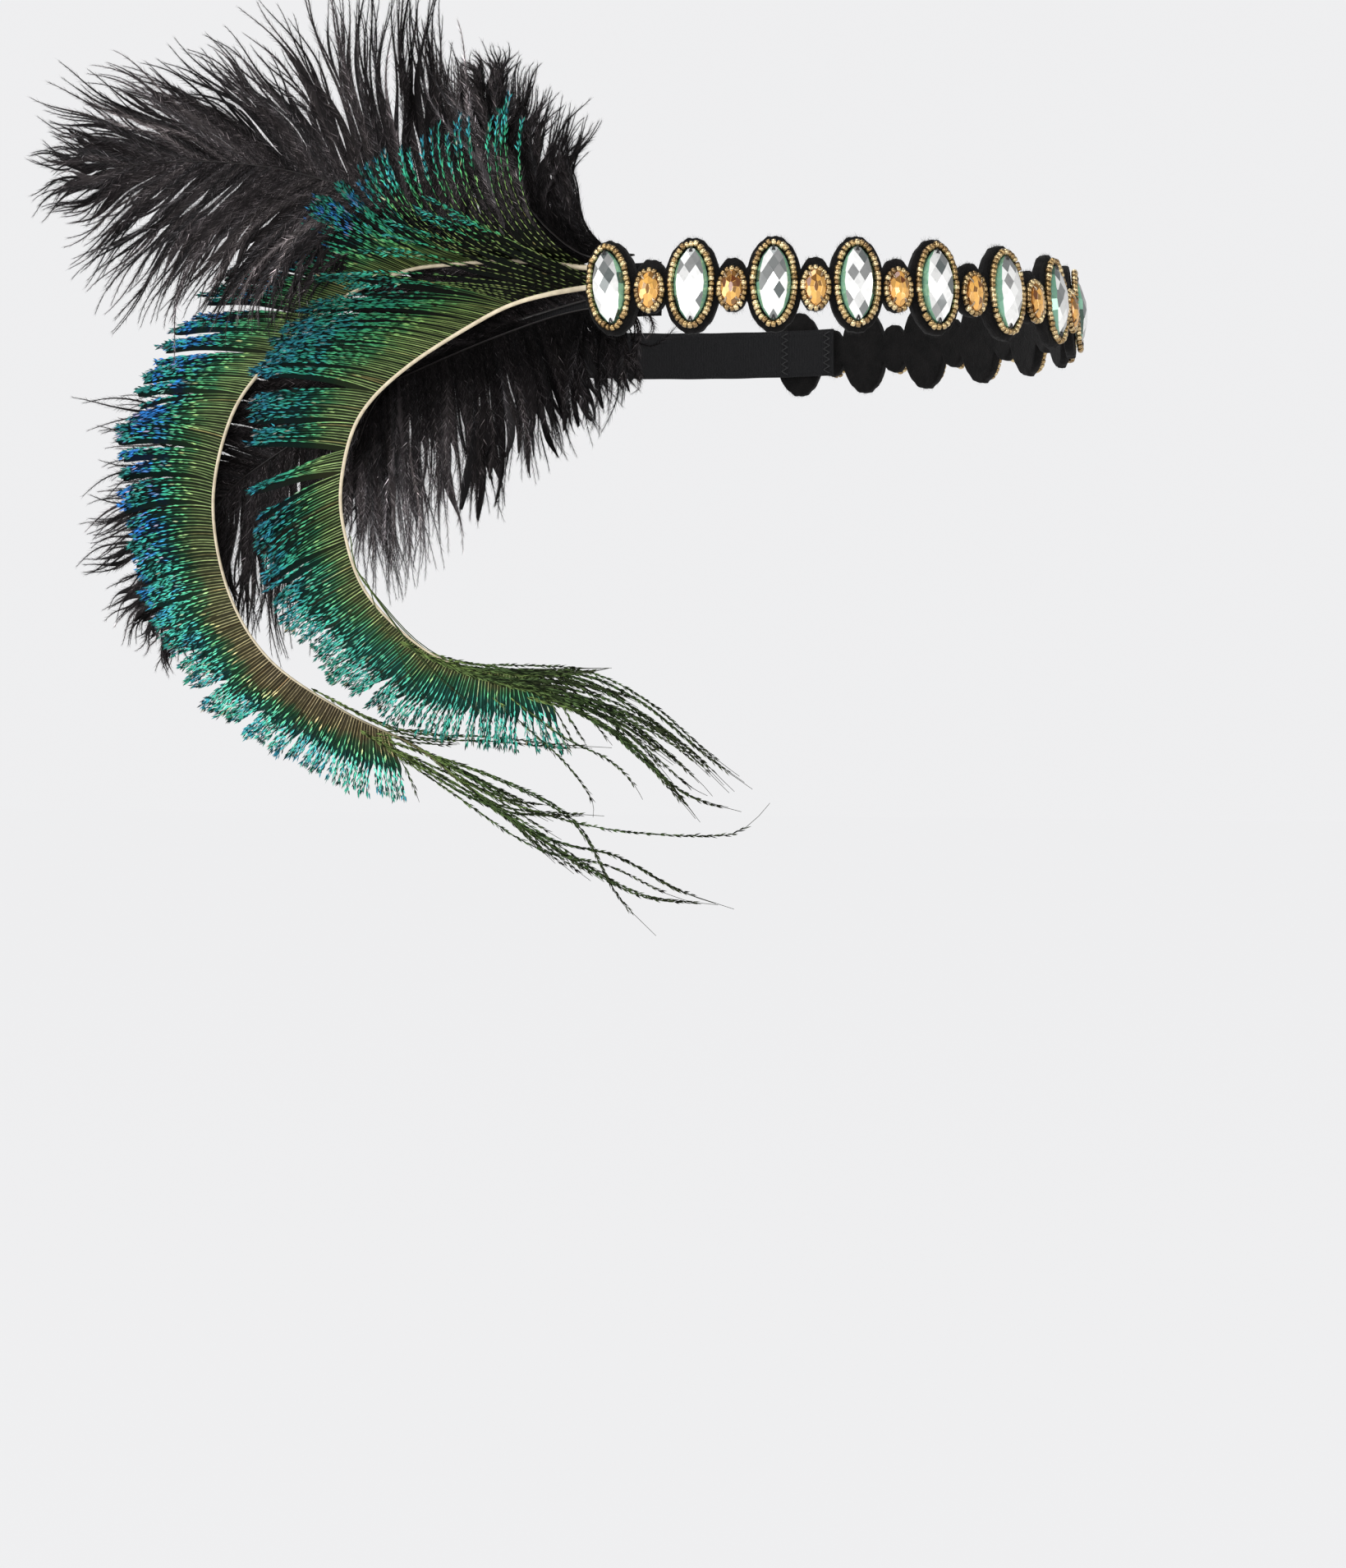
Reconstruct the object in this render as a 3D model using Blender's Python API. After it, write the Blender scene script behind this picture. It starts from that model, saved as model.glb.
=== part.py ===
"""A flapper headband: sewn crystals and amber stones on a scalloped felt band, closed at the
back by an elastic, with two peacock sword feathers and four ostrich plumes on the wearer's right.

Metres, +Z up. The origin is the middle of the head's oval at the band's middle line. The
forehead is towards -Y and the wearer's right, where the feathers are, is towards -X.
"""

import math

import bmesh
import bpy
import numpy as np
from mathutils import Matrix, Vector

for leftover in list(bpy.data.objects):
    bpy.data.objects.remove(leftover, do_unlink=True)

# The head that the band goes round
HEAD_HALF_LENGTH = 0.099
HEAD_HALF_WIDTH = 0.076
BAND_LEAN = math.radians(4.5)
GAP = 0.0003

# The row of stones, counted from the wearer's right
STONE_PITCH = 0.02212
CRYSTAL_COUNT = 14
AMBER_COUNT = CRYSTAL_COUNT - 1
AMBER_DROP = 0.0014
FIRST_CRYSTAL_TURN = math.radians(8)

# The felt and its scallops, as half widths along the band and half heights
FELT_THICKNESS = 0.0032
FELT_BLUNT_END = 0.0004
FELT_STEPS = (0.0, 0.0024, 0.0044, 0.0058, 0.0068, 0.0078, 0.0092)
CRYSTAL_PAD = (0.0076, 0.0135)
AMBER_PAD = (0.0046, 0.0076)
STRIP_HALF_HEIGHT = 0.0042

# The elastic that closes the ring at the back
ELASTIC_THICKNESS = 0.0010
ELASTIC_HALF_HEIGHT = 0.0075
ELASTIC_OVERLAP = 0.020
ELASTIC_STATIONS = 44

# The crystal: a pointed oval with lozenge facets on a shallow dome
CRYSTAL_HALF = (0.0045, 0.0100)
CRYSTAL_GIRDLE = 0.0011
CRYSTAL_HEIGHT = 0.0037
CRYSTAL_POINT = 0.75
CRYSTAL_SIDES = 18
LOZENGE_HALF = (0.0016, 0.0025)
LOZENGE_FALL = 60.0
LOZENGE_COLUMNS = 2
LOZENGE_ROWS = 4
CUT_MERGE = 1e-7

# The string of beads round a crystal
BEAD_RING_HALF = (0.00575, 0.0115)
BEAD_RADIUS = 0.00085
BEAD_RING_POINTS = 14

# The amber stone in its bead collar: half width, half height, height above the felt
AMBER_SIDES = 12
AMBER_ROWS = (
    (0.0043, 0.00635, 0.0),
    (0.0043, 0.00635, 0.0009),
    (0.0037, 0.00575, 0.0017),
    (0.0030, 0.00525, 0.0012),
    (0.0015, 0.00300, 0.0031),
)

# The feathers' quills go between the elastic and the felt behind the first crystal
QUILL_THICKNESS = 0.0013
QUILL_DEPTH = ELASTIC_THICKNESS + GAP + QUILL_THICKNESS / 2
QUILL_WIDTH = 0.0020
QUILL_TIP_WIDTH = 0.00076
QUILL_TIP_THICKNESS = 0.0006
QUILL_BURIED = 0.005
QUILLS_TOP = 0.0107
LIFT_RUN = 0.014
LIFT_MARGIN = 0.001
FLARE = 0.12
FLARE_START = 0.010
FLARE_EASE = 0.012
LAYER_START = 0.0055
LAYER_RUN = 0.020
PROBE = 0.0005
STRAIGHT = 0.001

# The locks of barbs: sections along them, greatest width, and how they narrow to their tips
LOCK_SECTIONS = (0.4, 0.75, 1.0)
WISP_WIDEST = 0.0026
LOCK_NARROWING = 0.5
LOCK_TAPER_POWER = 1.6
LOCK_THINNING = 0.5
TIP_LOCK_NARROWING = 0.7
RUFFLE_START = 0.070
RUFFLE_RUN = 0.040
BARE_STEPS = 4
ROUTE_STEPS = 24


def ease(share):
    """A smooth step from 0 to 1."""
    share = min(max(share, 0.0), 1.0)
    return share * share * (3 - 2 * share)


# Lengths along the head's oval, from the forehead towards the wearer's left

OVAL_STEPS = 1440
OVAL_TURNS = np.linspace(-math.pi, math.pi, OVAL_STEPS + 1)
OVAL_X = HEAD_HALF_WIDTH * np.sin(OVAL_TURNS)
OVAL_Y = -HEAD_HALF_LENGTH * np.cos(OVAL_TURNS)
OVAL_PIECES = np.hypot(np.diff(OVAL_X), np.diff(OVAL_Y))
OVAL_ARCS = np.concatenate(([0.0], np.cumsum(OVAL_PIECES)))
HEAD_LENGTH_ROUND = float(OVAL_ARCS[-1])
OVAL_ARCS = OVAL_ARCS - HEAD_LENGTH_ROUND / 2

ROW_HALF = (CRYSTAL_COUNT - 1) / 2 * STONE_PITCH
FELT_HALF = ROW_HALF + CRYSTAL_PAD[0]


def band_point(arc, up, out):
    """A point arc along the oval, up from the middle line, and out from the leaning band's inside."""
    round_arc = (arc + HEAD_LENGTH_ROUND / 2) % HEAD_LENGTH_ROUND - HEAD_LENGTH_ROUND / 2
    turn = float(np.interp(round_arc, OVAL_ARCS, OVAL_TURNS))
    outward = Vector((math.sin(turn) / HEAD_HALF_WIDTH, -math.cos(turn) / HEAD_HALF_LENGTH, 0.0))
    outward.normalize()
    middle = Vector((HEAD_HALF_WIDTH * math.sin(turn), -HEAD_HALF_LENGTH * math.cos(turn), up))
    return middle + outward * out


def lean_out(up):
    """How far the leaning band stands off the head at a height. Its upper edge touches."""
    return (CRYSTAL_PAD[1] - up) * math.tan(BAND_LEAN)


def felt_lift(arc):
    """How much further the felt stands off the head, over the elastic's ends and the quills."""
    elastic_lift = ELASTIC_THICKNESS + GAP - lean_out(ELASTIC_HALF_HEIGHT)
    quill_lift = QUILL_DEPTH + QUILL_THICKNESS / 2 + GAP - lean_out(QUILLS_TOP)
    elastic_edge = FELT_HALF - ELASTIC_OVERLAP - LIFT_MARGIN
    quill_edge = ROW_HALF - QUILL_BURIED - LIFT_MARGIN
    over_elastic = ease((abs(arc) - elastic_edge) / LIFT_RUN + 1)
    over_quills = ease((-arc - quill_edge) / LIFT_RUN + 1)
    return elastic_lift * over_elastic + (quill_lift - elastic_lift) * over_quills


def felt_point(arc, up, depth):
    """A point in the felt, depth from its inner face, with the lower edge leaning outwards."""
    return band_point(arc, up, felt_lift(arc) + depth + lean_out(up))


def stone_frame(arc, up, turn=0.0):
    """The seat of a stone: X along the band, Y up it and Z out of it, clear of the felt."""
    seat = felt_point(arc, up, FELT_THICKNESS)
    along = felt_point(arc + PROBE, up, FELT_THICKNESS) - felt_point(arc - PROBE, up, FELT_THICKNESS)
    upward = felt_point(arc, up + PROBE, FELT_THICKNESS) - felt_point(arc, up - PROBE, FELT_THICKNESS)
    x_axis = along.normalized()
    z_axis = x_axis.cross(upward).normalized()
    y_axis = z_axis.cross(x_axis)
    axes = Matrix((x_axis, y_axis, z_axis)).transposed().to_4x4()
    return Matrix.Translation(seat + z_axis * GAP) @ axes @ Matrix.Rotation(turn, 4, "Z")


def crystal_arc(index):
    return (index - (CRYSTAL_COUNT - 1) / 2) * STONE_PITCH


def amber_arc(index):
    return (index - (AMBER_COUNT - 1) / 2) * STONE_PITCH


# Materials and objects


def finish(name, colour, roughness, metallic=0.0):
    material = bpy.data.materials.new(name)
    material.use_nodes = True
    shader = material.node_tree.nodes["Principled BSDF"]
    shader.inputs["Base Color"].default_value = (*colour, 1.0)
    shader.inputs["Roughness"].default_value = roughness
    shader.inputs["Metallic"].default_value = metallic
    return material


BLACK_FELT = finish("black_felt", (0.012, 0.011, 0.012), 0.95)
BLACK_ELASTIC = finish("black_elastic", (0.015, 0.015, 0.017), 0.80)
MINT_CRYSTAL = finish("mint_crystal", (0.55, 0.80, 0.68), 0.05)
GOLD_BEADS = finish("gold_beads", (0.45, 0.27, 0.10), 0.35, 0.9)
AMBER_GLASS = finish("amber_glass", (0.62, 0.30, 0.06), 0.10)
PEACOCK_GREEN = finish("peacock_green", (0.02, 0.16, 0.09), 0.45)
BLACK_OSTRICH = finish("black_ostrich", (0.020, 0.019, 0.020), 0.85)


def add_object(name, mesh, material, placed=None):
    part = bpy.data.objects.new(name, mesh)
    bpy.context.collection.objects.link(part)
    if not mesh.materials:
        mesh.materials.append(material)
    if placed is not None:
        part.matrix_world = placed
    return part


def mesh_from(shape, name):
    bmesh.ops.recalc_face_normals(shape, faces=shape.faces)
    mesh = bpy.data.meshes.new(name)
    shape.to_mesh(mesh)
    shape.free()
    return mesh


def loft(shape, rings):
    """Joins rings of equal count with walls, and caps the two ends."""
    count = len(rings[0])
    for ring, following in zip(rings, rings[1:]):
        for k in range(count):
            after = (k + 1) % count
            shape.faces.new((ring[k], ring[after], following[after], following[k]))
    shape.faces.new(rings[0])
    shape.faces.new(rings[-1])


# The felt band


def pad_edges(offset, pad, turn=0.0):
    """The lower and upper edge of an oval pad at an offset from its middle, or None outside it."""
    wide, high = pad
    sine, cosine = math.sin(turn), math.cos(turn)
    reach = (high * sine) ** 2 + (wide * cosine) ** 2
    inside = reach - offset * offset
    if inside <= 0:
        return None
    middle = offset * sine * cosine * (wide * wide - high * high) / reach
    half = wide * high * math.sqrt(inside) / reach
    return middle - half, middle + half


def felt_edges(arc):
    """The felt's lower and upper edge at a place along the band."""
    lower, upper = -STRIP_HALF_HEIGHT, STRIP_HALF_HEIGHT
    pads = []
    for index in range(CRYSTAL_COUNT):
        turn = FIRST_CRYSTAL_TURN if index == 0 else 0.0
        pads.append(pad_edges(arc - crystal_arc(index), CRYSTAL_PAD, turn))
    for index in range(AMBER_COUNT):
        pads.append(pad_edges(arc - amber_arc(index), AMBER_PAD))
    for edges in pads:
        if edges is not None:
            lower = min(lower, edges[0])
            upper = max(upper, edges[1])
    return lower, upper


def felt_stations():
    """Places along the band, closer together where the scallops are steep."""
    stations = []
    for index in range(CRYSTAL_COUNT):
        middle = crystal_arc(index)
        before = [middle - step for step in reversed(FELT_STEPS[1:])]
        after = [middle + step for step in FELT_STEPS]
        stations += before + after
        if index < AMBER_COUNT:
            stations.append(amber_arc(index))
    end = FELT_HALF - FELT_BLUNT_END
    return [place for place in stations if abs(place) < end]


def build_felt_band():
    shape = bmesh.new()
    rings = []
    for arc in felt_stations():
        lower, upper = felt_edges(arc)
        corners = ((lower, 0), (lower, FELT_THICKNESS), (upper, FELT_THICKNESS), (upper, 0))
        rings.append([shape.verts.new(felt_point(arc, up, depth)) for up, depth in corners])
    loft(shape, rings)
    add_object("felt_band", mesh_from(shape, "felt_band"), BLACK_FELT)


def build_elastic_band():
    """The elastic goes round the back, with its ends sewn flat under the felt."""
    start = FELT_HALF - ELASTIC_OVERLAP
    length = HEAD_LENGTH_ROUND - 2 * start
    high, thick = ELASTIC_HALF_HEIGHT, ELASTIC_THICKNESS
    shape = bmesh.new()
    rings = []
    for k in range(ELASTIC_STATIONS + 1):
        arc = start + length * k / ELASTIC_STATIONS
        corners = ((-high, 0), (-high, thick), (high, thick), (high, 0))
        rings.append([shape.verts.new(band_point(arc, up, out)) for up, out in corners])
    loft(shape, rings)
    add_object("elastic_band", mesh_from(shape, "elastic_band"), BLACK_ELASTIC)


# The stones


def crystal_outline():
    """The pointed oval, from one tip round to the other and back."""
    half_wide, half_long = CRYSTAL_HALF
    points = []
    for k in range(CRYSTAL_SIDES):
        turn = 2 * math.pi * k / CRYSTAL_SIDES
        along = math.sin(turn)
        across = abs(math.cos(turn)) ** (2 * CRYSTAL_POINT)
        points.append((math.copysign(across, math.cos(turn)) * half_wide, along * half_long))
    return points


def cut_facet(shape, middle, slope_to):
    """Cuts away what lies above a plane, and closes the cut."""
    geometry = list(shape.verts) + list(shape.edges) + list(shape.faces)
    cut = bmesh.ops.bisect_plane(
        shape, geom=geometry, dist=CUT_MERGE, plane_co=middle, plane_no=slope_to, clear_outer=True
    )
    edges = [item for item in cut["geom_cut"] if isinstance(item, bmesh.types.BMEdge)]
    if len(edges) > 2:
        bmesh.ops.contextual_create(shape, geom=edges)


def build_crystal_mesh():
    """A flat-backed crystal whose lozenge facets touch a dome. The middle one is its table."""
    step_x, step_y = LOZENGE_HALF
    fall_x = LOZENGE_FALL
    fall_y = fall_x * (step_x / step_y) ** 2
    shape = bmesh.new()
    back = [shape.verts.new((x, y, 0.0)) for x, y in crystal_outline()]
    front = [shape.verts.new((x, y, CRYSTAL_HEIGHT)) for x, y in crystal_outline()]
    loft(shape, [back, front])
    for column in range(-LOZENGE_COLUMNS, LOZENGE_COLUMNS + 1):
        for row in range(-LOZENGE_ROWS, LOZENGE_ROWS + 1):
            if (column + row) % 2:
                continue
            x, y = column * step_x, row * step_y
            rise = CRYSTAL_HEIGHT - fall_x * x * x - fall_y * y * y
            if rise < CRYSTAL_GIRDLE:
                continue
            slope = Vector((2 * fall_x * x, 2 * fall_y * y, 1.0)).normalized()
            cut_facet(shape, Vector((x, y, rise)), slope)
    return mesh_from(shape, "crystal")


def build_crystals():
    mesh = build_crystal_mesh()
    for index in range(CRYSTAL_COUNT):
        turn = FIRST_CRYSTAL_TURN if index == 0 else 0.0
        seat = stone_frame(crystal_arc(index), 0.0, turn)
        add_object(f"crystal_{index + 1:02d}", mesh, MINT_CRYSTAL, seat)
        build_bead_ring(index, seat)


def build_bead_ring(index, seat):
    """The string of beads round a crystal, as one closed tube."""
    name = f"bead_ring_{index + 1:02d}"
    curve = bpy.data.curves.new(name, "CURVE")
    curve.dimensions = "3D"
    curve.bevel_depth = BEAD_RADIUS
    curve.bevel_resolution = 2
    spline = curve.splines.new("POLY")
    spline.points.add(BEAD_RING_POINTS - 1)
    spline.use_cyclic_u = True
    for k, point in enumerate(spline.points):
        turn = 2 * math.pi * k / BEAD_RING_POINTS
        x = BEAD_RING_HALF[0] * math.sin(turn)
        y = BEAD_RING_HALF[1] * math.cos(turn)
        point.co = (x, y, BEAD_RADIUS, 1.0)
    curve.materials.append(GOLD_BEADS)
    ring = bpy.data.objects.new(name, curve)
    bpy.context.collection.objects.link(ring)
    ring.matrix_world = seat


def build_ambers():
    """Each amber stone is one body with its collar of beads."""
    shape = bmesh.new()
    rings = []
    for half_wide, half_high, height in AMBER_ROWS:
        ring = []
        for k in range(AMBER_SIDES):
            turn = 2 * math.pi * k / AMBER_SIDES
            corner = (half_wide * math.sin(turn), half_high * math.cos(turn), height)
            ring.append(shape.verts.new(corner))
        rings.append(ring)
    loft(shape, rings)
    mesh = mesh_from(shape, "amber_motif")
    for index in range(AMBER_COUNT):
        seat = stone_frame(amber_arc(index), -AMBER_DROP)
        add_object(f"amber_motif_{index + 1:02d}", mesh, AMBER_GLASS, seat)


# The feathers lie near the plane that touches the head at the first crystal. A place there is
# back along the band's line from that crystal, up from the middle line, and out from the head.

ROOT_ARC = -ROW_HALF
ROOT = band_point(ROOT_ARC, 0.0, QUILL_DEPTH)
OUTWARD = (band_point(ROOT_ARC, 0.0, 1.0) - band_point(ROOT_ARC, 0.0, 0.0)).normalized()
BACKWARD = Vector((-OUTWARD.y, OUTWARD.x, 0.0))
if BACKWARD.y < 0:
    BACKWARD = -BACKWARD


def side_point(back, up, feather, thickness):
    """A place on a feather, which stands off the head in its own layer and flares outwards."""
    reach = math.hypot(back, up - feather["root_up"])
    past = max(back - FLARE_START, 0.0)
    out = feather["layer"] * ease((reach - LAYER_START) / LAYER_RUN)
    out += FLARE * past * past / (past + FLARE_EASE)
    bow, bow_start = feather["bow"]
    out += bow * max(reach - bow_start, 0.0) ** 2
    return ROOT + BACKWARD * back + OUTWARD * (out + thickness) + Vector((0, 0, up))


def smooth_route(knots):
    """A smooth line through the knots of a quill: its points, headings and shares of length."""
    places = np.array(knots, float)
    first = 2 * places[0] - places[1]
    last = 2 * places[-1] - places[-2]
    padded = np.vstack([first, places, last])
    points = []
    for k in range(1, len(padded) - 2):
        a, b, c, d = padded[k - 1 : k + 3]
        for t in np.arange(ROUTE_STEPS) / ROUTE_STEPS:
            level = 2 * b + (c - a) * t + (2 * a - 5 * b + 4 * c - d) * t * t
            points.append((level + (3 * b - a - 3 * c + d) * t**3) / 2)
    points.append(places[-1])
    points = np.array(points)
    pieces = np.hypot(*np.diff(points, axis=0).T)
    lengths = np.concatenate(([0.0], np.cumsum(pieces)))
    slopes = np.gradient(points, axis=0)
    headings = np.unwrap(np.arctan2(slopes[:, 1], slopes[:, 0]))
    return points, headings, lengths / lengths[-1]


def on_route(route, share):
    points, headings, shares = route
    back = np.interp(share, shares, points[:, 0])
    up = np.interp(share, shares, points[:, 1])
    return np.array((back, up)), float(np.interp(share, shares, headings))


def barb_place(route, rows, share, offset, along):
    """A place along a barb that leaves the quill at a share of its length and bends evenly."""
    columns = np.array(rows, float).T
    length, angle, bend = (np.interp(share, columns[0], column) for column in columns[1:])
    root, heading = on_route(route, share)
    root = root + offset * np.array((-math.sin(heading), math.cos(heading)))
    start = heading + math.radians(angle)
    turn = math.radians(bend)
    if abs(turn) < STRAIGHT:
        turn = STRAIGHT
    reach_back = (math.sin(start + turn * along) - math.sin(start)) / turn
    reach_up = (math.cos(start) - math.cos(start + turn * along)) / turn
    return root + length * np.array((reach_back, reach_up))




def add_lock(shape, base, sections):
    """A lock of barbs that grows out of a face of the quill, through sections of four corners."""
    previous = base
    for corners in sections:
        ring = [shape.verts.new(corner) for corner in corners]
        for k in range(4):
            after = (k + 1) % 4
            shape.faces.new((previous[k], previous[after], ring[after], ring[k]))
        previous = ring
    shape.faces.new(previous)


def lock_sections(feather, route, rows, offsets, shares, ruffle):
    """The sections of one lock between two barbs, drawn in towards its tip."""
    sections = []
    for along in LOCK_SECTIONS:
        drawn_in = along**LOCK_TAPER_POWER
        inset = feather["inset"] + (feather["point"] - feather["inset"]) * drawn_in
        first = barb_place(route, rows, shares[0], offsets[0], along)
        second = barb_place(route, rows, shares[1], offsets[1], along)
        widest = feather["widest"] if shares[0] < feather["wisps_from"] else WISP_WIDEST
        widest *= 1 - LOCK_NARROWING * along
        width = np.linalg.norm(second - first)
        inset = max(inset, 0.5 - widest / (2 * width))
        near = first + (second - first) * inset
        far = second + (first - second) * inset
        half = feather["lock_half"] * (1 - LOCK_THINNING * along)
        reach = float(np.hypot(*near))
        lifted = ruffle * along * along * ease((reach - RUFFLE_START) / RUFFLE_RUN)
        sections.append(
            (
                side_point(near[0], near[1], feather, lifted + half),
                side_point(far[0], far[1], feather, lifted + half),
                side_point(far[0], far[1], feather, lifted - half),
                side_point(near[0], near[1], feather, lifted - half),
            )
        )
    return sections


def tip_sections(feather, route):
    """The last lock, which goes on from the quill's end."""
    length, bend, half_wide = feather["tip"]
    rows = ((0.0, length, 0.0, bend), (1.0, length, 0.0, bend))
    sections = []
    for along in LOCK_SECTIONS:
        half_here = half_wide * (1 - TIP_LOCK_NARROWING * along)
        left = barb_place(route, rows, 1.0, half_here, along)
        right = barb_place(route, rows, 1.0, -half_here, along)
        half = feather["lock_half"] * (1 - LOCK_THINNING * along)
        sections.append(
            (
                side_point(left[0], left[1], feather, half),
                side_point(right[0], right[1], feather, half),
                side_point(right[0], right[1], feather, -half),
                side_point(left[0], left[1], feather, -half),
            )
        )
    return sections


def build_feather(name, feather, material):
    """A feather as one body: a flat quill with locks of barbs on one edge or both."""
    route = smooth_route(feather["quill"])
    first, locks = feather["barbs_from"], feather["locks"]
    shares = [first * k / BARE_STEPS for k in range(BARE_STEPS)]
    shares += [first + (1 - first) * k / locks for k in range(locks + 1)]
    feather["root_up"] = feather["quill"][0][1]
    shape = bmesh.new()
    rings, edges = [], []
    for share in shares:
        (back, up), heading = on_route(route, share)
        half_wide = (QUILL_WIDTH + (QUILL_TIP_WIDTH - QUILL_WIDTH) * share) / 2
        half_thick = (QUILL_THICKNESS + (QUILL_TIP_THICKNESS - QUILL_THICKNESS) * share) / 2
        across = (-math.sin(heading) * half_wide, math.cos(heading) * half_wide)
        left = (back + across[0], up + across[1])
        right = (back - across[0], up - across[1])
        corners = (
            side_point(*left, feather, half_thick),
            side_point(*right, feather, half_thick),
            side_point(*right, feather, -half_thick),
            side_point(*left, feather, -half_thick),
        )
        rings.append([shape.verts.new(corner) for corner in corners])
        edges.append(half_wide)
    for k in range(len(shares) - 1):
        here, there = rings[k], rings[k + 1]
        shape.faces.new((here[0], here[1], there[1], there[0]))
        shape.faces.new((here[2], here[3], there[3], there[2]))
        pair = (shares[k], shares[k + 1])
        sides = (
            (feather["left"], (here[0], there[0], there[3], here[3]), 1),
            (feather["right"], (here[1], there[1], there[2], here[2]), -1),
        )
        for rows, base, sign in sides:
            if rows and k >= BARE_STEPS and pair[1] > rows[0][0]:
                offsets = (sign * edges[k], sign * edges[k + 1])
                ruffle = feather["ruffle"] * (1 if k % 2 else -1)
                add_lock(shape, base, lock_sections(feather, route, rows, offsets, pair, ruffle))
            else:
                shape.faces.new(base)
    shape.faces.new(rings[0])
    add_lock(shape, rings[-1], tip_sections(feather, route))
    add_object(name, mesh_from(shape, name), material)


# Each feather: its quill's knots (back, up) and its rows of barbs on the left and right of the
# quill's way: (share of the quill's length, length, angle from the quill, bend), in degrees.

INNER_SWORD = {
    "quill": (
        (-0.005, 0.0012), (0.009, 0.0012), (0.022, -0.0022), (0.035, -0.0068), (0.058, -0.0198),
        (0.072, -0.0333), (0.077, -0.050), (0.076, -0.066), (0.068, -0.085), (0.048, -0.102),
        (0.027, -0.107), (0.010, -0.107),
    ),
    "left": (
        (0.11, 0.064, 50, -30),
        (0.17, 0.057, 49, -45),
        (0.26, 0.048, 56, -49),
        (0.33, 0.041, 65, -54),
        (0.42, 0.031, 75, -40),
        (0.48, 0.028, 84, -36),
        (0.56, 0.026, 86, -44),
        (0.69, 0.022, 94, 0),
        (0.81, 0.022, 98, 12),
        (0.87, 0.020, 96, -6),
        (0.91, 0.022, 56, 4),
        (0.94, 0.046, 34, 10),
        (1.00, 0.060, 22, 24),
    ),
    "right": (),
    "barbs_from": 0.11, "locks": 28, "layer": 0.0096, "bow": (0.9, 0.030), "ruffle": 0.0,
    "widest": 0.0100, "wisps_from": 0.92,
    "inset": 0.05, "point": 0.20, "lock_half": 0.0004, "tip": (0.064, 46, 0.0012),
}

OUTER_SWORD = {
    "quill": (
        (-0.005, 0.0068), (0.009, 0.0068), (0.026, 0.009), (0.047, 0.0092), (0.064, 0.0075),
        (0.085, -0.001), (0.105, -0.0176), (0.116, -0.033), (0.121, -0.057), (0.116, -0.0825),
        (0.103, -0.1025), (0.080, -0.1175), (0.058, -0.1277), (0.044, -0.138),
    ),
    "left": (
        (0.08, 0.050, 14, 78),
        (0.13, 0.048, 12, 70),
        (0.18, 0.042, 18, 34),
        (0.24, 0.034, 38, -10),
        (0.36, 0.037, 53, -27),
        (0.44, 0.035, 58, -24),
        (0.50, 0.031, 86, -28),
        (0.56, 0.028, 106, -44),
        (0.67, 0.024, 106, -20),
        (0.80, 0.021, 96, 15),
        (0.88, 0.017, 84, -10),
        (0.91, 0.018, 44, 6),
        (0.94, 0.050, 12, -12),
        (1.00, 0.064, 6, -4),
    ),
    "right": (),
    "barbs_from": 0.08, "locks": 34, "layer": 0.0040, "bow": (0.3, 0.050), "ruffle": 0.0,
    "widest": 0.0110, "wisps_from": 0.92,
    "inset": 0.05, "point": 0.20, "lock_half": 0.0004, "tip": (0.086, -22, 0.0012),
}

REAR_PLUME = {
    "quill": (
        (-0.005, 0.004), (0.009, 0.0042), (0.018, 0.006), (0.029, 0.0125), (0.045, 0.0199),
        (0.064, 0.0272), (0.085, 0.0343), (0.100, 0.0385), (0.118, 0.041), (0.134, 0.0413),
        (0.147, 0.040),
    ),
    "left": (
        (0.20, 0.056, 41, -10),
        (0.30, 0.062, 46, 14),
        (0.40, 0.072, 52, 28),
        (0.52, 0.066, 56, 18),
        (0.60, 0.042, 38, 30),
        (0.71, 0.056, 30, 19),
        (0.81, 0.049, 30, 7),
        (0.90, 0.039, 18, 20),
        (1.00, 0.024, 8, 0),
    ),
    "right": (
        (0.32, 0.060, -14, -72),
        (0.47, 0.058, -20, -80),
        (0.60, 0.060, -38, -46),
        (0.71, 0.064, -42, -38),
        (0.81, 0.056, -43, -8),
        (0.90, 0.041, -29, 4),
        (1.00, 0.025, -8, -4),
    ),
    "barbs_from": 0.20, "locks": 20, "layer": 0.0068, "bow": (1.3, 0.075), "ruffle": 0.0020,
    "widest": 0.0085, "wisps_from": 1.0,
    "inset": 0.04, "point": 0.26, "lock_half": 0.0011, "tip": (0.026, 0, 0.0012),
}

TOP_PLUME = {
    "quill": (
        (-0.005, 0.0096), (0.009, 0.010), (0.020, 0.0174), (0.030, 0.0295), (0.038, 0.044),
        (0.040, 0.056),
    ),
    "left": (
        (0.20, 0.044, 38, 64),
        (0.35, 0.045, 20, 70),
        (0.47, 0.043, 20, 54),
        (0.61, 0.041, 22, 38),
        (0.74, 0.030, 26, 28),
        (1.00, 0.016, 16, 0),
    ),
    "right": (
        (0.30, 0.046, -20, 50),
        (0.61, 0.044, -32, 52),
        (0.74, 0.036, -28, 46),
        (1.00, 0.014, -6, -14),
    ),
    "barbs_from": 0.20, "locks": 9, "layer": 0.0012, "bow": (-2.0, 0.040), "ruffle": 0.0010,
    "widest": 0.0080, "wisps_from": 1.0,
    "inset": 0.04, "point": 0.26, "lock_half": 0.0009, "tip": (0.016, 0, 0.0010),
}

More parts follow.
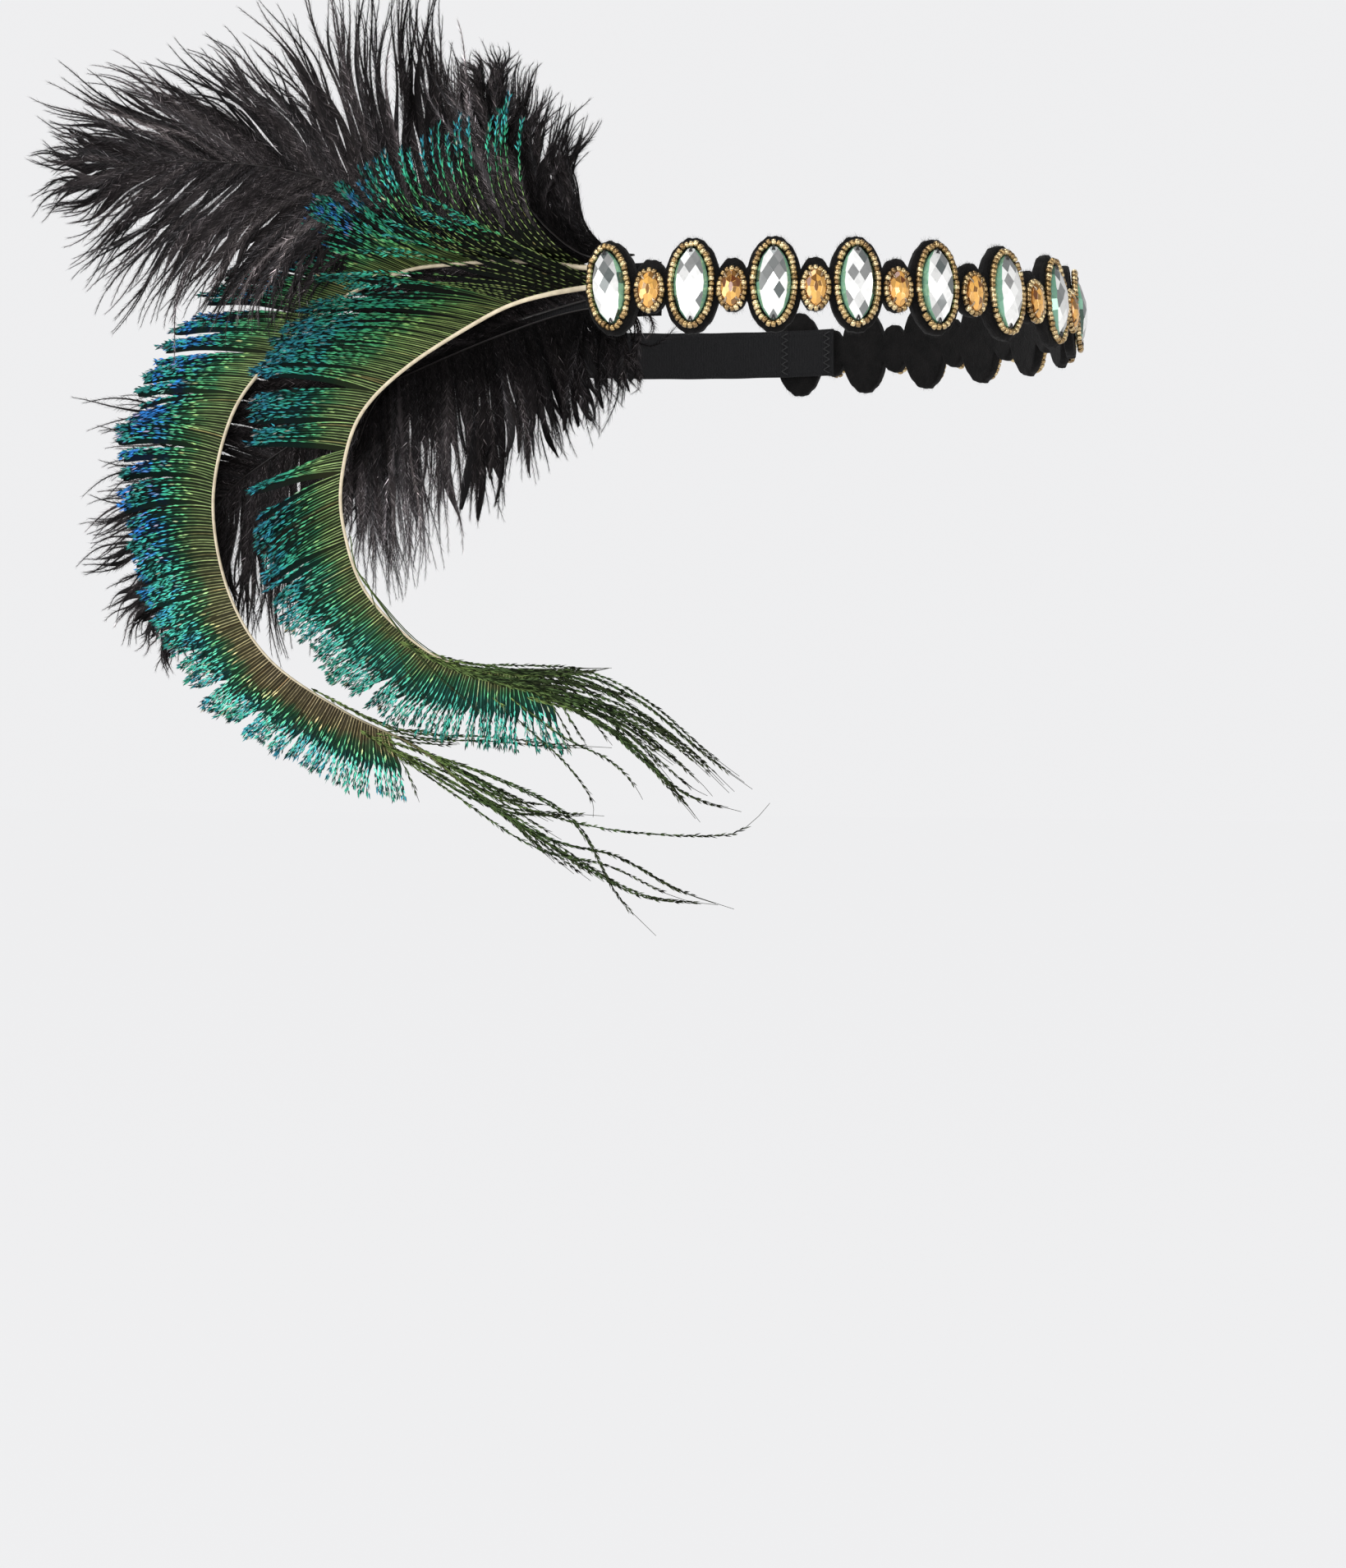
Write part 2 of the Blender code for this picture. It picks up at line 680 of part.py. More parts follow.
LOWER_PLUME = {
    "quill": (
        (-0.005, -0.0048), (0.010, -0.0048), (0.024, -0.0078), (0.042, -0.0134), (0.060, -0.020),
        (0.069, -0.024), (0.075, -0.032), (0.079, -0.042),
    ),
    "left": (
        (0.30, 0.015, 22, 0),
        (0.60, 0.015, 22, 0),
        (1.00, 0.010, 14, 0),
    ),
    "right": (
        (0.15, 0.028, -117, -4),
        (0.21, 0.034, -101, 9),
        (0.33, 0.038, -92, 3),
        (0.45, 0.046, -86, 11),
        (0.59, 0.050, -82, 16),
        (0.74, 0.057, -70, 0),
        (0.84, 0.055, -34, -8),
        (1.00, 0.028, -10, -12),
    ),
    "barbs_from": 0.15, "locks": 15, "layer": 0.0012, "bow": (0.0, 0.0), "ruffle": 0.0,
    "widest": 0.0075, "wisps_from": 1.0,
    "inset": 0.04, "point": 0.26, "lock_half": 0.0009, "tip": (0.026, -6, 0.0010),
}

BACK_PLUME = {
    "quill": (
        (-0.005, -0.0018), (0.009, -0.002), (0.039, -0.009), (0.069, -0.0229), (0.089, -0.0334),
        (0.115, -0.048), (0.125, -0.056), (0.135, -0.066), (0.141, -0.077), (0.145, -0.0865),
    ),
    "left": (
        (0.26, 0.040, 40, -24),
        (0.53, 0.062, 45, -24),
        (0.63, 0.068, 48, -25),
        (0.76, 0.052, 50, -30),
        (0.84, 0.043, 42, -10),
        (0.91, 0.034, 50, -34),
        (1.00, 0.018, 22, -24),
    ),
    "right": (
        (0.40, 0.044, -54, 6),
        (0.53, 0.052, -53, 10),
        (0.60, 0.060, -54, 0),
        (0.68, 0.055, -48, -15),
        (0.80, 0.043, -30, -17),
        (0.93, 0.030, -8, -18),
        (1.00, 0.020, -8, -10),
    ),
    "barbs_from": 0.26, "locks": 17, "layer": -0.0015, "bow": (-1.4, 0.090), "ruffle": 0.0010,
    "widest": 0.0075, "wisps_from": 1.0,
    "inset": 0.04, "point": 0.26, "lock_half": 0.0009, "tip": (0.018, 0, 0.0010),
}

build_felt_band()
build_elastic_band()
build_crystals()
build_ambers()
build_feather("sword_feather_inner", INNER_SWORD, PEACOCK_GREEN)
build_feather("sword_feather_outer", OUTER_SWORD, PEACOCK_GREEN)
build_feather("ostrich_plume_rear", REAR_PLUME, BLACK_OSTRICH)
build_feather("ostrich_plume_top", TOP_PLUME, BLACK_OSTRICH)
build_feather("ostrich_plume_lower", LOWER_PLUME, BLACK_OSTRICH)
build_feather("ostrich_plume_back", BACK_PLUME, BLACK_OSTRICH)
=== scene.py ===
"""The looks of a flapper headband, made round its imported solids: thick black felt with sewn
crystals, amber stones and seed beads, a ribbed elastic, peacock sword feathers and ostrich plumes.

Metres, +Z up. The forehead is towards -Y and the feathers are towards -X.
"""

import math

import bpy
import numpy as np
from mathutils import Matrix, Vector


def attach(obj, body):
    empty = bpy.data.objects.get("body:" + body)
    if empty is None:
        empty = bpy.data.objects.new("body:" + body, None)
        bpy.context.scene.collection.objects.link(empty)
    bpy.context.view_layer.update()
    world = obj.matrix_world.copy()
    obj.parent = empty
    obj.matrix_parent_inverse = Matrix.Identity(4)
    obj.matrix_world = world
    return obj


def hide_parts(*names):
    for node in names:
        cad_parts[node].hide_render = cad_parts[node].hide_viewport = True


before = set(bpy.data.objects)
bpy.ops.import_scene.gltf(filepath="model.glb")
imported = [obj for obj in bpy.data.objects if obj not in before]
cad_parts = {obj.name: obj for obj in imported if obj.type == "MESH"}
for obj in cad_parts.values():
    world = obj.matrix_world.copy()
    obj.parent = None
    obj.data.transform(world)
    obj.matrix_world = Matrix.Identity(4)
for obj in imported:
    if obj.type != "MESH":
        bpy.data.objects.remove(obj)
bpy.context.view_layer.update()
bpy.ops.object.select_all(action="DESELECT")

# The band, as in the frame
HEAD_HALF_LENGTH = 0.099
HEAD_HALF_WIDTH = 0.076
BAND_LEAN = math.radians(4.5)
GAP = 0.0003
STONE_PITCH = 0.02212
CRYSTAL_COUNT = 14
AMBER_COUNT = CRYSTAL_COUNT - 1
AMBER_DROP = 0.0014
FIRST_CRYSTAL_TURN = math.radians(8)
FELT_THICKNESS = 0.0032
CRYSTAL_PAD = (0.0076, 0.0135)
AMBER_PAD = (0.0046, 0.0076)
STRIP_HALF_HEIGHT = 0.0042
ELASTIC_THICKNESS = 0.0010
ELASTIC_HALF_HEIGHT = 0.0075
ELASTIC_OVERLAP = 0.020
QUILL_THICKNESS = 0.0013
QUILL_DEPTH = ELASTIC_THICKNESS + GAP + QUILL_THICKNESS / 2
QUILL_WIDTH = 0.0020
QUILL_TIP_WIDTH = 0.00076
QUILL_TIP_THICKNESS = 0.0006
QUILL_BURIED = 0.005
QUILLS_TOP = 0.0107
LIFT_RUN = 0.014
LIFT_MARGIN = 0.001
FLARE = 0.12
FLARE_START = 0.010
FLARE_EASE = 0.012
LAYER_START = 0.0055
LAYER_RUN = 0.020
PROBE = 0.0005
ROW_HALF = (CRYSTAL_COUNT - 1) / 2 * STONE_PITCH
FELT_HALF = ROW_HALF + CRYSTAL_PAD[0]
BEAD_RING_HALF = (0.00575, 0.0115)

OVAL_STEPS = 1440
OVAL_TURNS = np.linspace(-math.pi, math.pi, OVAL_STEPS + 1)
OVAL_PIECES = np.hypot(
    np.diff(HEAD_HALF_WIDTH * np.sin(OVAL_TURNS)), np.diff(HEAD_HALF_LENGTH * np.cos(OVAL_TURNS))
)
HEAD_LENGTH_ROUND = float(OVAL_PIECES.sum())
OVAL_ARCS = np.concatenate(([0.0], np.cumsum(OVAL_PIECES))) - HEAD_LENGTH_ROUND / 2


# Places on the band, for single values or arrays


def ease(share):
    """A smooth step from 0 to 1."""
    share = np.clip(share, 0.0, 1.0)
    return share * share * (3 - 2 * share)


def band_points(arc, up, out):
    """Points arc along the oval, up from the middle line, and out from the band's inside."""
    arc, up, out = np.broadcast_arrays(arc, up, out)
    round_arc = (arc + HEAD_LENGTH_ROUND / 2) % HEAD_LENGTH_ROUND - HEAD_LENGTH_ROUND / 2
    turn = np.interp(round_arc, OVAL_ARCS, OVAL_TURNS)
    normal = np.stack([np.sin(turn) / HEAD_HALF_WIDTH, -np.cos(turn) / HEAD_HALF_LENGTH], -1)
    normal /= np.linalg.norm(normal, axis=-1, keepdims=True)
    x = HEAD_HALF_WIDTH * np.sin(turn) + normal[..., 0] * out
    y = -HEAD_HALF_LENGTH * np.cos(turn) + normal[..., 1] * out
    return np.stack([x, y, up], -1)


def lean_out(up):
    """How far the leaning band stands off the head at a height. Its upper edge touches."""
    return (CRYSTAL_PAD[1] - up) * math.tan(BAND_LEAN)


def felt_lift(arc):
    """How much further the felt stands off the head over the elastic's ends and the quills."""
    elastic_lift = ELASTIC_THICKNESS + GAP - lean_out(ELASTIC_HALF_HEIGHT)
    quill_lift = QUILL_DEPTH + QUILL_THICKNESS / 2 + GAP - lean_out(QUILLS_TOP)
    elastic_edge = FELT_HALF - ELASTIC_OVERLAP - LIFT_MARGIN
    quill_edge = ROW_HALF - QUILL_BURIED - LIFT_MARGIN
    over_elastic = ease((np.abs(arc) - elastic_edge) / LIFT_RUN + 1)
    over_quills = ease((-arc - quill_edge) / LIFT_RUN + 1)
    return elastic_lift * over_elastic + (quill_lift - elastic_lift) * over_quills


def felt_points(arc, up, depth):
    """Points in the felt, at a depth from its inner face."""
    return band_points(arc, up, felt_lift(arc) + depth + lean_out(up))


def stone_frame(arc, up, turn=0.0):
    """The seat of a stone: X along the band, Y up it and Z out of it, clear of the felt."""
    seat = Vector(felt_points(arc, up, FELT_THICKNESS))
    before = Vector(felt_points(arc - PROBE, up, FELT_THICKNESS))
    after = Vector(felt_points(arc + PROBE, up, FELT_THICKNESS))
    below = Vector(felt_points(arc, up - PROBE, FELT_THICKNESS))
    above = Vector(felt_points(arc, up + PROBE, FELT_THICKNESS))
    x_axis = (after - before).normalized()
    z_axis = x_axis.cross(above - below).normalized()
    axes = Matrix((x_axis, z_axis.cross(x_axis), z_axis)).transposed().to_4x4()
    return Matrix.Translation(seat + z_axis * GAP) @ axes @ Matrix.Rotation(turn, 4, "Z")


def crystal_arc(index):
    return (index - (CRYSTAL_COUNT - 1) / 2) * STONE_PITCH


def amber_arc(index):
    return (index - (AMBER_COUNT - 1) / 2) * STONE_PITCH


def crystal_seat(index):
    turn = FIRST_CRYSTAL_TURN if index == 0 else 0.0
    return stone_frame(crystal_arc(index), 0.0, turn)


def amber_seat(index):
    return stone_frame(amber_arc(index), -AMBER_DROP)


# Hand tools


def picked_up(name):
    """The object that an operator has just added, under its own name."""
    piece = bpy.context.active_object
    piece.name = name
    piece.data.name = name
    return piece


def vertex_places(mesh):
    flat = np.empty(len(mesh.vertices) * 3)
    mesh.vertices.foreach_get("co", flat)
    return flat.reshape(-1, 3)


def set_places(mesh, places):
    mesh.vertices.foreach_set("co", np.ascontiguousarray(places, float).ravel())
    mesh.update()


def apply_all(piece):
    bpy.context.view_layer.objects.active = piece
    for modifier in list(piece.modifiers):
        bpy.ops.object.modifier_apply(modifier=modifier.name)


def rolled_grid(name, around, along, place):
    """A closed tube: a grid rolled up so that (share around, share along) goes to its place."""
    bpy.ops.object.select_all(action="DESELECT")
    bpy.ops.mesh.primitive_grid_add(x_subdivisions=around, y_subdivisions=along, size=2)
    piece = picked_up(name)
    shares = (vertex_places(piece.data)[:, :2] + 1) / 2
    set_places(piece.data, place(shares[:, 0] % 1.0, shares[:, 1]))
    bpy.ops.object.mode_set(mode="EDIT")
    bpy.ops.mesh.select_all(action="SELECT")
    bpy.ops.mesh.remove_doubles(threshold=1e-7)
    bpy.ops.mesh.select_all(action="DESELECT")
    bpy.ops.mesh.select_non_manifold()
    bpy.ops.mesh.fill_holes(sides=0)
    bpy.ops.mesh.select_all(action="SELECT")
    bpy.ops.mesh.normals_make_consistent(inside=False)
    bpy.ops.object.mode_set(mode="OBJECT")
    bpy.ops.object.shade_smooth_by_angle(angle=math.radians(50))
    return piece


def give_map(mesh, name, values):
    """A UV map with the two values that each vertex has."""
    corners = np.empty(len(mesh.loops), int)
    mesh.loops.foreach_get("vertex_index", corners)
    layer = mesh.uv_layers.new(name=name)
    layer.data.foreach_set("uv", values.reshape(-1, 2)[corners].astype(float).ravel())


def joined_mesh(name, places, faces, maps=None):
    """One object from arrays, with a UV map for each entry of maps, given for each vertex."""
    mesh = bpy.data.meshes.new(name)
    mesh.from_pydata(places.reshape(-1, 3), [], faces)
    mesh.update()
    for map_name, values in (maps or {}).items():
        give_map(mesh, map_name, values)
    piece = bpy.data.objects.new(name, mesh)
    bpy.context.collection.objects.link(piece)
    return piece


def scattered(name, master, seats, tones=None):
    """Copies of a master's mesh at each seat, joined into one mesh with a tone for each copy."""
    places = vertex_places(master.data)
    faces = [tuple(face.vertices) for face in master.data.polygons]
    all_places, all_faces = [], []
    for k, seat in enumerate(seats):
        seat = np.array(seat)
        all_places.append(places @ seat[:3, :3].T + seat[:3, 3])
        all_faces += [tuple(corner + k * len(places) for corner in face) for face in faces]
    if tones is None:
        tones = np.zeros((len(seats), 2))
    spread = np.repeat(tones, len(places), axis=0)
    return joined_mesh(name, np.concatenate(all_places), all_faces, {"tone": spread})


def placed_copy(master, name, seat):
    """A copy of a master with its own mesh, moved to its seat in the mesh itself."""
    mesh = master.data.copy()
    mesh.name = name
    mesh.transform(seat)
    piece = bpy.data.objects.new(name, mesh)
    bpy.context.collection.objects.link(piece)
    return piece


def put_away(master):
    mesh = master.data
    bpy.data.objects.remove(master, do_unlink=True)
    bpy.data.meshes.remove(mesh)


def finished(piece, material, slot, *nodes):
    """A piece of the object gets its finish, rides on the body and stands for its solids."""
    piece.data.materials.clear()
    piece.data.materials.append(material)
    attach(piece, "root")
    if nodes:
        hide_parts(*nodes)
    return piece


# Finishes


def grey(level):
    return (level, level, level)


class Finish:
    """A node material, built up from its shader."""

    def __init__(self, name):
        self.material = bpy.data.materials.new(name)
        self.material.use_nodes = True
        self.tree = self.material.node_tree
        self.shader = self.tree.nodes["Principled BSDF"]

    def add(self, kind, **settings):
        node = self.tree.nodes.new(kind)
        for key, value in settings.items():
            setattr(node, key, value)
        return node

    def join(self, source, target):
        self.tree.links.new(source, target)

    def constant(self, **values):
        for key, value in values.items():
            self.shader.inputs[key.replace("_", " ")].default_value = value

    def object_place(self):
        return self.add("ShaderNodeTexCoord").outputs["Object"]

    def uv_axes(self, map_name):
        split = self.add("ShaderNodeSeparateXYZ")
        self.join(self.add("ShaderNodeUVMap", uv_map=map_name).outputs["UV"], split.inputs[0])
        return split.outputs[0], split.outputs[1]

    def noise(self, scale, detail=3.0, roughness=0.6, stretch=None):
        texture = self.add("ShaderNodeTexNoise")
        texture.inputs["Scale"].default_value = scale
        texture.inputs["Detail"].default_value = detail
        texture.inputs["Roughness"].default_value = roughness
        place = self.object_place()
        if stretch:
            mapping = self.add("ShaderNodeMapping")
            mapping.inputs["Scale"].default_value = stretch
            self.join(place, mapping.inputs["Vector"])
            place = mapping.outputs["Vector"]
        self.join(place, texture.inputs["Vector"])
        return texture.outputs["Fac"]

    def ramp(self, source, stops):
        node = self.add("ShaderNodeValToRGB")
        colours = node.color_ramp.elements
        while len(colours) < len(stops):
            colours.new(0.5)
        for element, (place, colour) in zip(colours, stops):
            element.position = place
            element.color = (*colour, 1.0)
        self.join(source, node.inputs["Fac"])
        return node.outputs["Color"]

    def maths(self, kind, first, second):
        node = self.add("ShaderNodeMath", operation=kind)
        for socket, value in zip(node.inputs, (first, second)):
            if isinstance(value, (int, float)):
                socket.default_value = value
            else:
                self.join(value, socket)
        return node.outputs[0]

    def mix(self, share, first, second, blend="MIX"):
        node = self.add("ShaderNodeMix", data_type="RGBA", blend_type=blend)
        for socket, value in ((node.inputs[0], share), (node.inputs[6], first), (node.inputs[7], second)):
            if isinstance(value, tuple):
                socket.default_value = (*value, 1.0)
            elif isinstance(value, (int, float)):
                socket.default_value = value
            else:
                self.join(value, socket)
        return node.outputs[2]

    def scaled(self, colour, amount):
        """A colour made lighter or darker by an amount from a socket."""
        node = self.add("ShaderNodeVectorMath", operation="SCALE")
        self.join(colour, node.inputs[0])
        self.join(amount, node.inputs["Scale"])
        return node.outputs[0]

    def bump(self, height, depth, strength=1.0):
        node = self.add("ShaderNodeBump")
        node.inputs["Distance"].default_value = depth
        node.inputs["Strength"].default_value = strength
        self.join(height, node.inputs["Height"])
        self.join(node.outputs["Normal"], self.shader.inputs["Normal"])

    def colour(self, source):
        self.join(source, self.shader.inputs["Base Color"])

    def roughness(self, source, low, high):
        spread = self.add("ShaderNodeMapRange")
        spread.inputs["To Min"].default_value = low
        spread.inputs["To Max"].default_value = high
        self.join(source, spread.inputs["Value"])
        self.join(spread.outputs["Result"], self.shader.inputs["Roughness"])


def black_felt():
    felt = Finish("black_wool_felt")
    mottle = felt.noise(260.0, 4.0)
    fibre = felt.noise(2600.0, 2.0)
    felt.colour(felt.ramp(mottle, ((0.30, grey(0.003)), (0.75, (0.010, 0.009, 0.009)))))
    felt.roughness(fibre, 0.85, 1.0)
    felt.bump(felt.maths("ADD", fibre, felt.maths("MULTIPLY", mottle, 1.5)), 0.0003)
    felt.constant(Sheen_Weight=0.06, Sheen_Roughness=0.5, Specular_IOR_Level=0.12)
    return felt.material


def felt_fibre():
    fibre = Finish("felt_fibre")
    tint = fibre.ramp(fibre.noise(900.0), ((0.3, grey(0.004)), (0.8, (0.025, 0.022, 0.022))))
    fibre.colour(tint)
    fibre.constant(Roughness=0.9)
    return fibre.material


def black_elastic():
    elastic = Finish("black_ribbed_elastic")
    along, _ = elastic.uv_axes("weave")
    rows = elastic.maths("SINE", elastic.maths("MULTIPLY", along, 2 * math.pi), 0.0)
    fibre = elastic.noise(1800.0, 2.0)
    elastic.colour(elastic.ramp(fibre, ((0.3, (0.004, 0.004, 0.005)), (0.8, (0.014, 0.014, 0.015)))))
    elastic.roughness(fibre, 0.55, 0.85)
    elastic.bump(elastic.maths("ADD", rows, fibre), 0.00012, 0.8)
    elastic.constant(Sheen_Weight=0.04, Specular_IOR_Level=0.2)
    return elastic.material


def black_thread():
    thread = Finish("black_thread")
    twist = thread.noise(5200.0, 1.0)
    thread.colour(thread.ramp(twist, ((0.3, grey(0.006)), (0.8, (0.04, 0.04, 0.042)))))
    thread.roughness(twist, 0.4, 0.7)
    return thread.material


def antique_gold():
    bead = Finish("antique_gold_beads")
    tone, _ = bead.uv_axes("tone")
    golds = ((0.0, (0.26, 0.155, 0.055)), (0.45, (0.50, 0.34, 0.14)), (1.0, (0.92, 0.74, 0.42)))
    warm = bead.ramp(tone, golds)
    worn = bead.ramp(bead.noise(1500.0, 3.0), ((0.35, (0.45, 0.40, 0.36)), (0.6, grey(1.0))))
    bead.colour(bead.mix(0.7, warm, worn, "MULTIPLY"))
    bead.roughness(bead.noise(900.0), 0.16, 0.38)
    bead.constant(Metallic=0.85, Coat_Weight=0.5, Coat_Roughness=0.08)
    return bead.material


def claw_metal():
    metal = Finish("aged_claw_metal")
    wear = metal.noise(700.0, 4.0)
    metal.colour(metal.ramp(wear, ((0.35, (0.16, 0.10, 0.05)), (0.7, (0.62, 0.50, 0.36)))))
    metal.roughness(wear, 0.45, 0.2)
    metal.bump(wear, 0.00008)
    metal.constant(Metallic=1.0)
    return metal.material


def foiled_stone(name, heart, rim, dark_reflection, glint_scale):
    """Glass with a foil behind it. Each facet is painted a light or dark tone that stands for a painted
    reflection, Voronoi cells paint glints within the facets, and the rim shows the glass.
    """
    stone = Finish(name)
    tone, steep = stone.uv_axes("facet")
    body = stone.mix(stone.maths("MINIMUM", steep, 1.0), heart, rim)
    # The facet tones paint light and dark reflections over the body colour.
    tones = stone.ramp(tone, ((0.0, dark_reflection), (0.30, grey(0.34)), (0.48, grey(0.72)), (0.9, grey(1.0))))
    # Voronoi cells paint glints: lighter and darker patches within each facet. Their distance also sets
    # the roughness.
    glint = stone.add("ShaderNodeTexVoronoi")
    glint.inputs["Scale"].default_value = glint_scale
    stone.join(stone.object_place(), glint.inputs["Vector"])
    spread = stone.ramp(glint.outputs["Color"], ((0.0, grey(0.70)), (0.5, grey(1.0))))
    facet = stone.mix(1.0, body, tones, "MULTIPLY")
    stone.colour(stone.mix(0.45, facet, spread, "MULTIPLY"))
    stone.roughness(glint.outputs["Distance"], 0.03, 0.10)
    stone.constant(Metallic=0.22, Coat_Weight=1.0, Coat_Roughness=0.02)
    return stone.material


def cream_quill():
    quill = Finish("cream_quill")
    along, _ = quill.uv_axes("quill")
    grain = quill.noise(420.0, 4.0)
    cream = quill.ramp(grain, ((0.3, (0.50, 0.42, 0.29)), (0.65, (0.70, 0.61, 0.44))))
    ends = ((0.78, grey(1.0)), (0.93, (0.20, 0.19, 0.10)), (1.0, (0.05, 0.05, 0.03)))
    dark_end = quill.ramp(along, ends)
    quill.colour(quill.mix(1.0, cream, dark_end, "MULTIPLY"))
    quill.roughness(grain, 0.35, 0.55)
    quill.bump(grain, 0.00005)
    quill.constant(Coat_Weight=0.15)
    return quill.material


def black_quill():
    quill = Finish("black_quill")
    grain = quill.noise(420.0, 4.0)
    quill.colour(quill.ramp(grain, ((0.3, (0.007, 0.006, 0.006)), (0.7, (0.020, 0.017, 0.016)))))
    quill.roughness(grain, 0.30, 0.50)
    quill.bump(grain, 0.00005)
    quill.constant(Specular_IOR_Level=0.4)
    return quill.material


# The share down the quill that marks a loose strand, which has no place on the quill
STRAND = 2.0

# Colours along the barbs on the quill's first part, and along the loose strands
FIRST_COLOURS = (
    (0.02, (0.215, 0.270, 0.115)),
    (0.26, (0.165, 0.265, 0.095)),
    (0.40, (0.055, 0.220, 0.090)),
    (0.58, (0.022, 0.190, 0.120)),
    (0.85, (0.020, 0.175, 0.158)),
    (1.00, (0.014, 0.100, 0.090)),
)
STRAND_COLOURS = (
    (0.05, (0.100, 0.145, 0.042)),
    (0.45, (0.045, 0.078, 0.026)),
    (0.90, (0.026, 0.032, 0.014)),
)
DEEP_BLUE = (0.014, 0.085, 0.300)
BRONZE = (0.30, 0.16, 0.07)


def last_colours(brown, brown_to):
    """Colours along the barbs past the quill's middle, which are brown up to a share."""
    return (
        (0.02, brown),
        (brown_to, (brown[0] * 0.96, brown[1], brown[2] * 0.8)),
        (brown_to + 0.12, (0.070, 0.255, 0.110)),
        (brown_to + 0.30, (0.045, 0.265, 0.195)),
        (0.85, (0.030, 0.200, 0.150)),
        (1.00, (0.008, 0.080, 0.050)),
    )


def peacock_herl(name, blue, brown, brown_to):
    """Barbs that go from olive at the quill through green to teal, with patches of blue. Past the
    quill's middle they turn over and show brown at the quill."""
    herl = Finish(name)
    along, down = herl.uv_axes("herl")
    light, hue = herl.uv_axes("fleck")
    wander = herl.maths("MULTIPLY", herl.maths("SUBTRACT", herl.noise(95.0, 3.0), 0.5), 0.42)
    shifted = herl.maths("ADD", herl.maths("ADD", along, wander), herl.maths("MULTIPLY", hue, 0.10))
    upper = herl.ramp(shifted, FIRST_COLOURS)
    lower = herl.ramp(shifted, last_colours(brown, brown_to))
    strand = herl.ramp(along, STRAND_COLOURS)
    less_blue = herl.ramp(down, ((0.22, (0.92, 0.95, 0.76)), (0.42, grey(1.0))))
    upper = herl.mix(1.0, upper, less_blue, "MULTIPLY")
    turn_over = herl.ramp(down, ((0.58, grey(0.0)), (0.74, grey(1.0))))
    tint = herl.mix(turn_over, upper, lower)
    mingled = herl.maths("MULTIPLY_ADD", hue, 0.22)
    herl.join(herl.noise(150.0, 2.0), mingled.node.inputs[2])
    patch = herl.ramp(mingled, ((0.60, grey(0.0)), (0.68, (blue, blue, blue))))
    outer_half = herl.ramp(along, ((0.45, grey(0.0)), (0.62, grey(1.0))))
    bluest = ((0.15, grey(0.3)), (0.22, grey(1.0)), (0.58, grey(1.0)), (0.72, grey(0.3)))
    past_root = herl.ramp(down, bluest)
    blue_share = herl.mix(1.0, herl.mix(1.0, patch, outer_half, "MULTIPLY"), past_root, "MULTIPLY")
    tint = herl.mix(blue_share, tint, DEEP_BLUE)
    bronze = herl.ramp(hue, ((0.91, grey(0.0)), (1.0, grey(0.5))))
    tint = herl.mix(bronze, tint, BRONZE)
    tint = herl.mix(herl.maths("GREATER_THAN", down, STRAND - 0.5), tint, strand)
    # The light value scales the colour: it carries the barbules' painted glints and painted shade.
    herl.colour(herl.scaled(tint, light))
    herl.roughness(hue, 0.40, 0.60)
    herl.constant(Specular_IOR_Level=0.05)
    return herl.material


def ostrich_flue():
    flue = Finish("black_ostrich_flue")
    light, warm = flue.uv_axes("fleck")
    blacks = ((0.0, (0.011, 0.0105, 0.011)), (0.6, (0.015, 0.013, 0.0135)), (1.0, (0.020, 0.0175, 0.0175)))
    tint = flue.ramp(warm, blacks)
    patch = flue.ramp(flue.noise(60.0, 3.0), ((0.35, grey(0.7)), (0.7, grey(1.25))))
    # The light value paints streaks of sheen and shade over the black.
    flue.colour(flue.scaled(flue.mix(1.0, tint, patch, "MULTIPLY"), light))
    flue.roughness(warm, 0.5, 0.75)
    flue.constant(Specular_IOR_Level=0.03)
    return flue.material


# The felt band

FELT_BLUNT_END = 0.0004
FELT_COLUMNS = 700
FELT_AROUND = 26
SECTION_POWER = 2 / 7
CUT_WOBBLE = 0.00012
FELT_LUMPS = 0.00006


def pad_edges(offset, pad, turn=0.0):
    """The lower and upper edge of an oval pad at offsets from its middle, or 0 outside it."""
    wide, high = pad
    sine, cosine = math.sin(turn), math.cos(turn)
    reach = (high * sine) ** 2 + (wide * cosine) ** 2
    half = wide * high * np.sqrt(np.clip(reach - offset * offset, 0, None)) / reach
    middle = offset * sine * cosine * (wide * wide - high * high) / reach
    middle = np.where(half > 0, middle, 0.0)
    return middle - half, middle + half


def felt_edges(arc):
    """The felt's lower and upper edge at places along the band."""
    lower = np.full_like(arc, -STRIP_HALF_HEIGHT)
    upper = np.full_like(arc, STRIP_HALF_HEIGHT)
    pads = [(crystal_arc(0), CRYSTAL_PAD, FIRST_CRYSTAL_TURN)]
    pads += [(crystal_arc(k), CRYSTAL_PAD, 0.0) for k in range(1, CRYSTAL_COUNT)]
    pads += [(amber_arc(k), AMBER_PAD, 0.0) for k in range(AMBER_COUNT)]
    for middle, pad, turn in pads:
        low, high = pad_edges(arc - middle, pad, turn)
        lower, upper = np.minimum(lower, low), np.maximum(upper, high)
    wobble = CUT_WOBBLE * (np.sin(arc * 2900) + np.sin(arc * 1730 + 1.0))
    return lower - wobble, upper + wobble


def rounded_section(share):
    """A share of the way round a rounded square: across and through, each from -1 to 1."""
    turn = 2 * math.pi * share
    across = np.sign(np.cos(turn)) * np.abs(np.cos(turn)) ** SECTION_POWER
    through = np.sign(np.sin(turn)) * np.abs(np.sin(turn)) ** SECTION_POWER
    return across, through


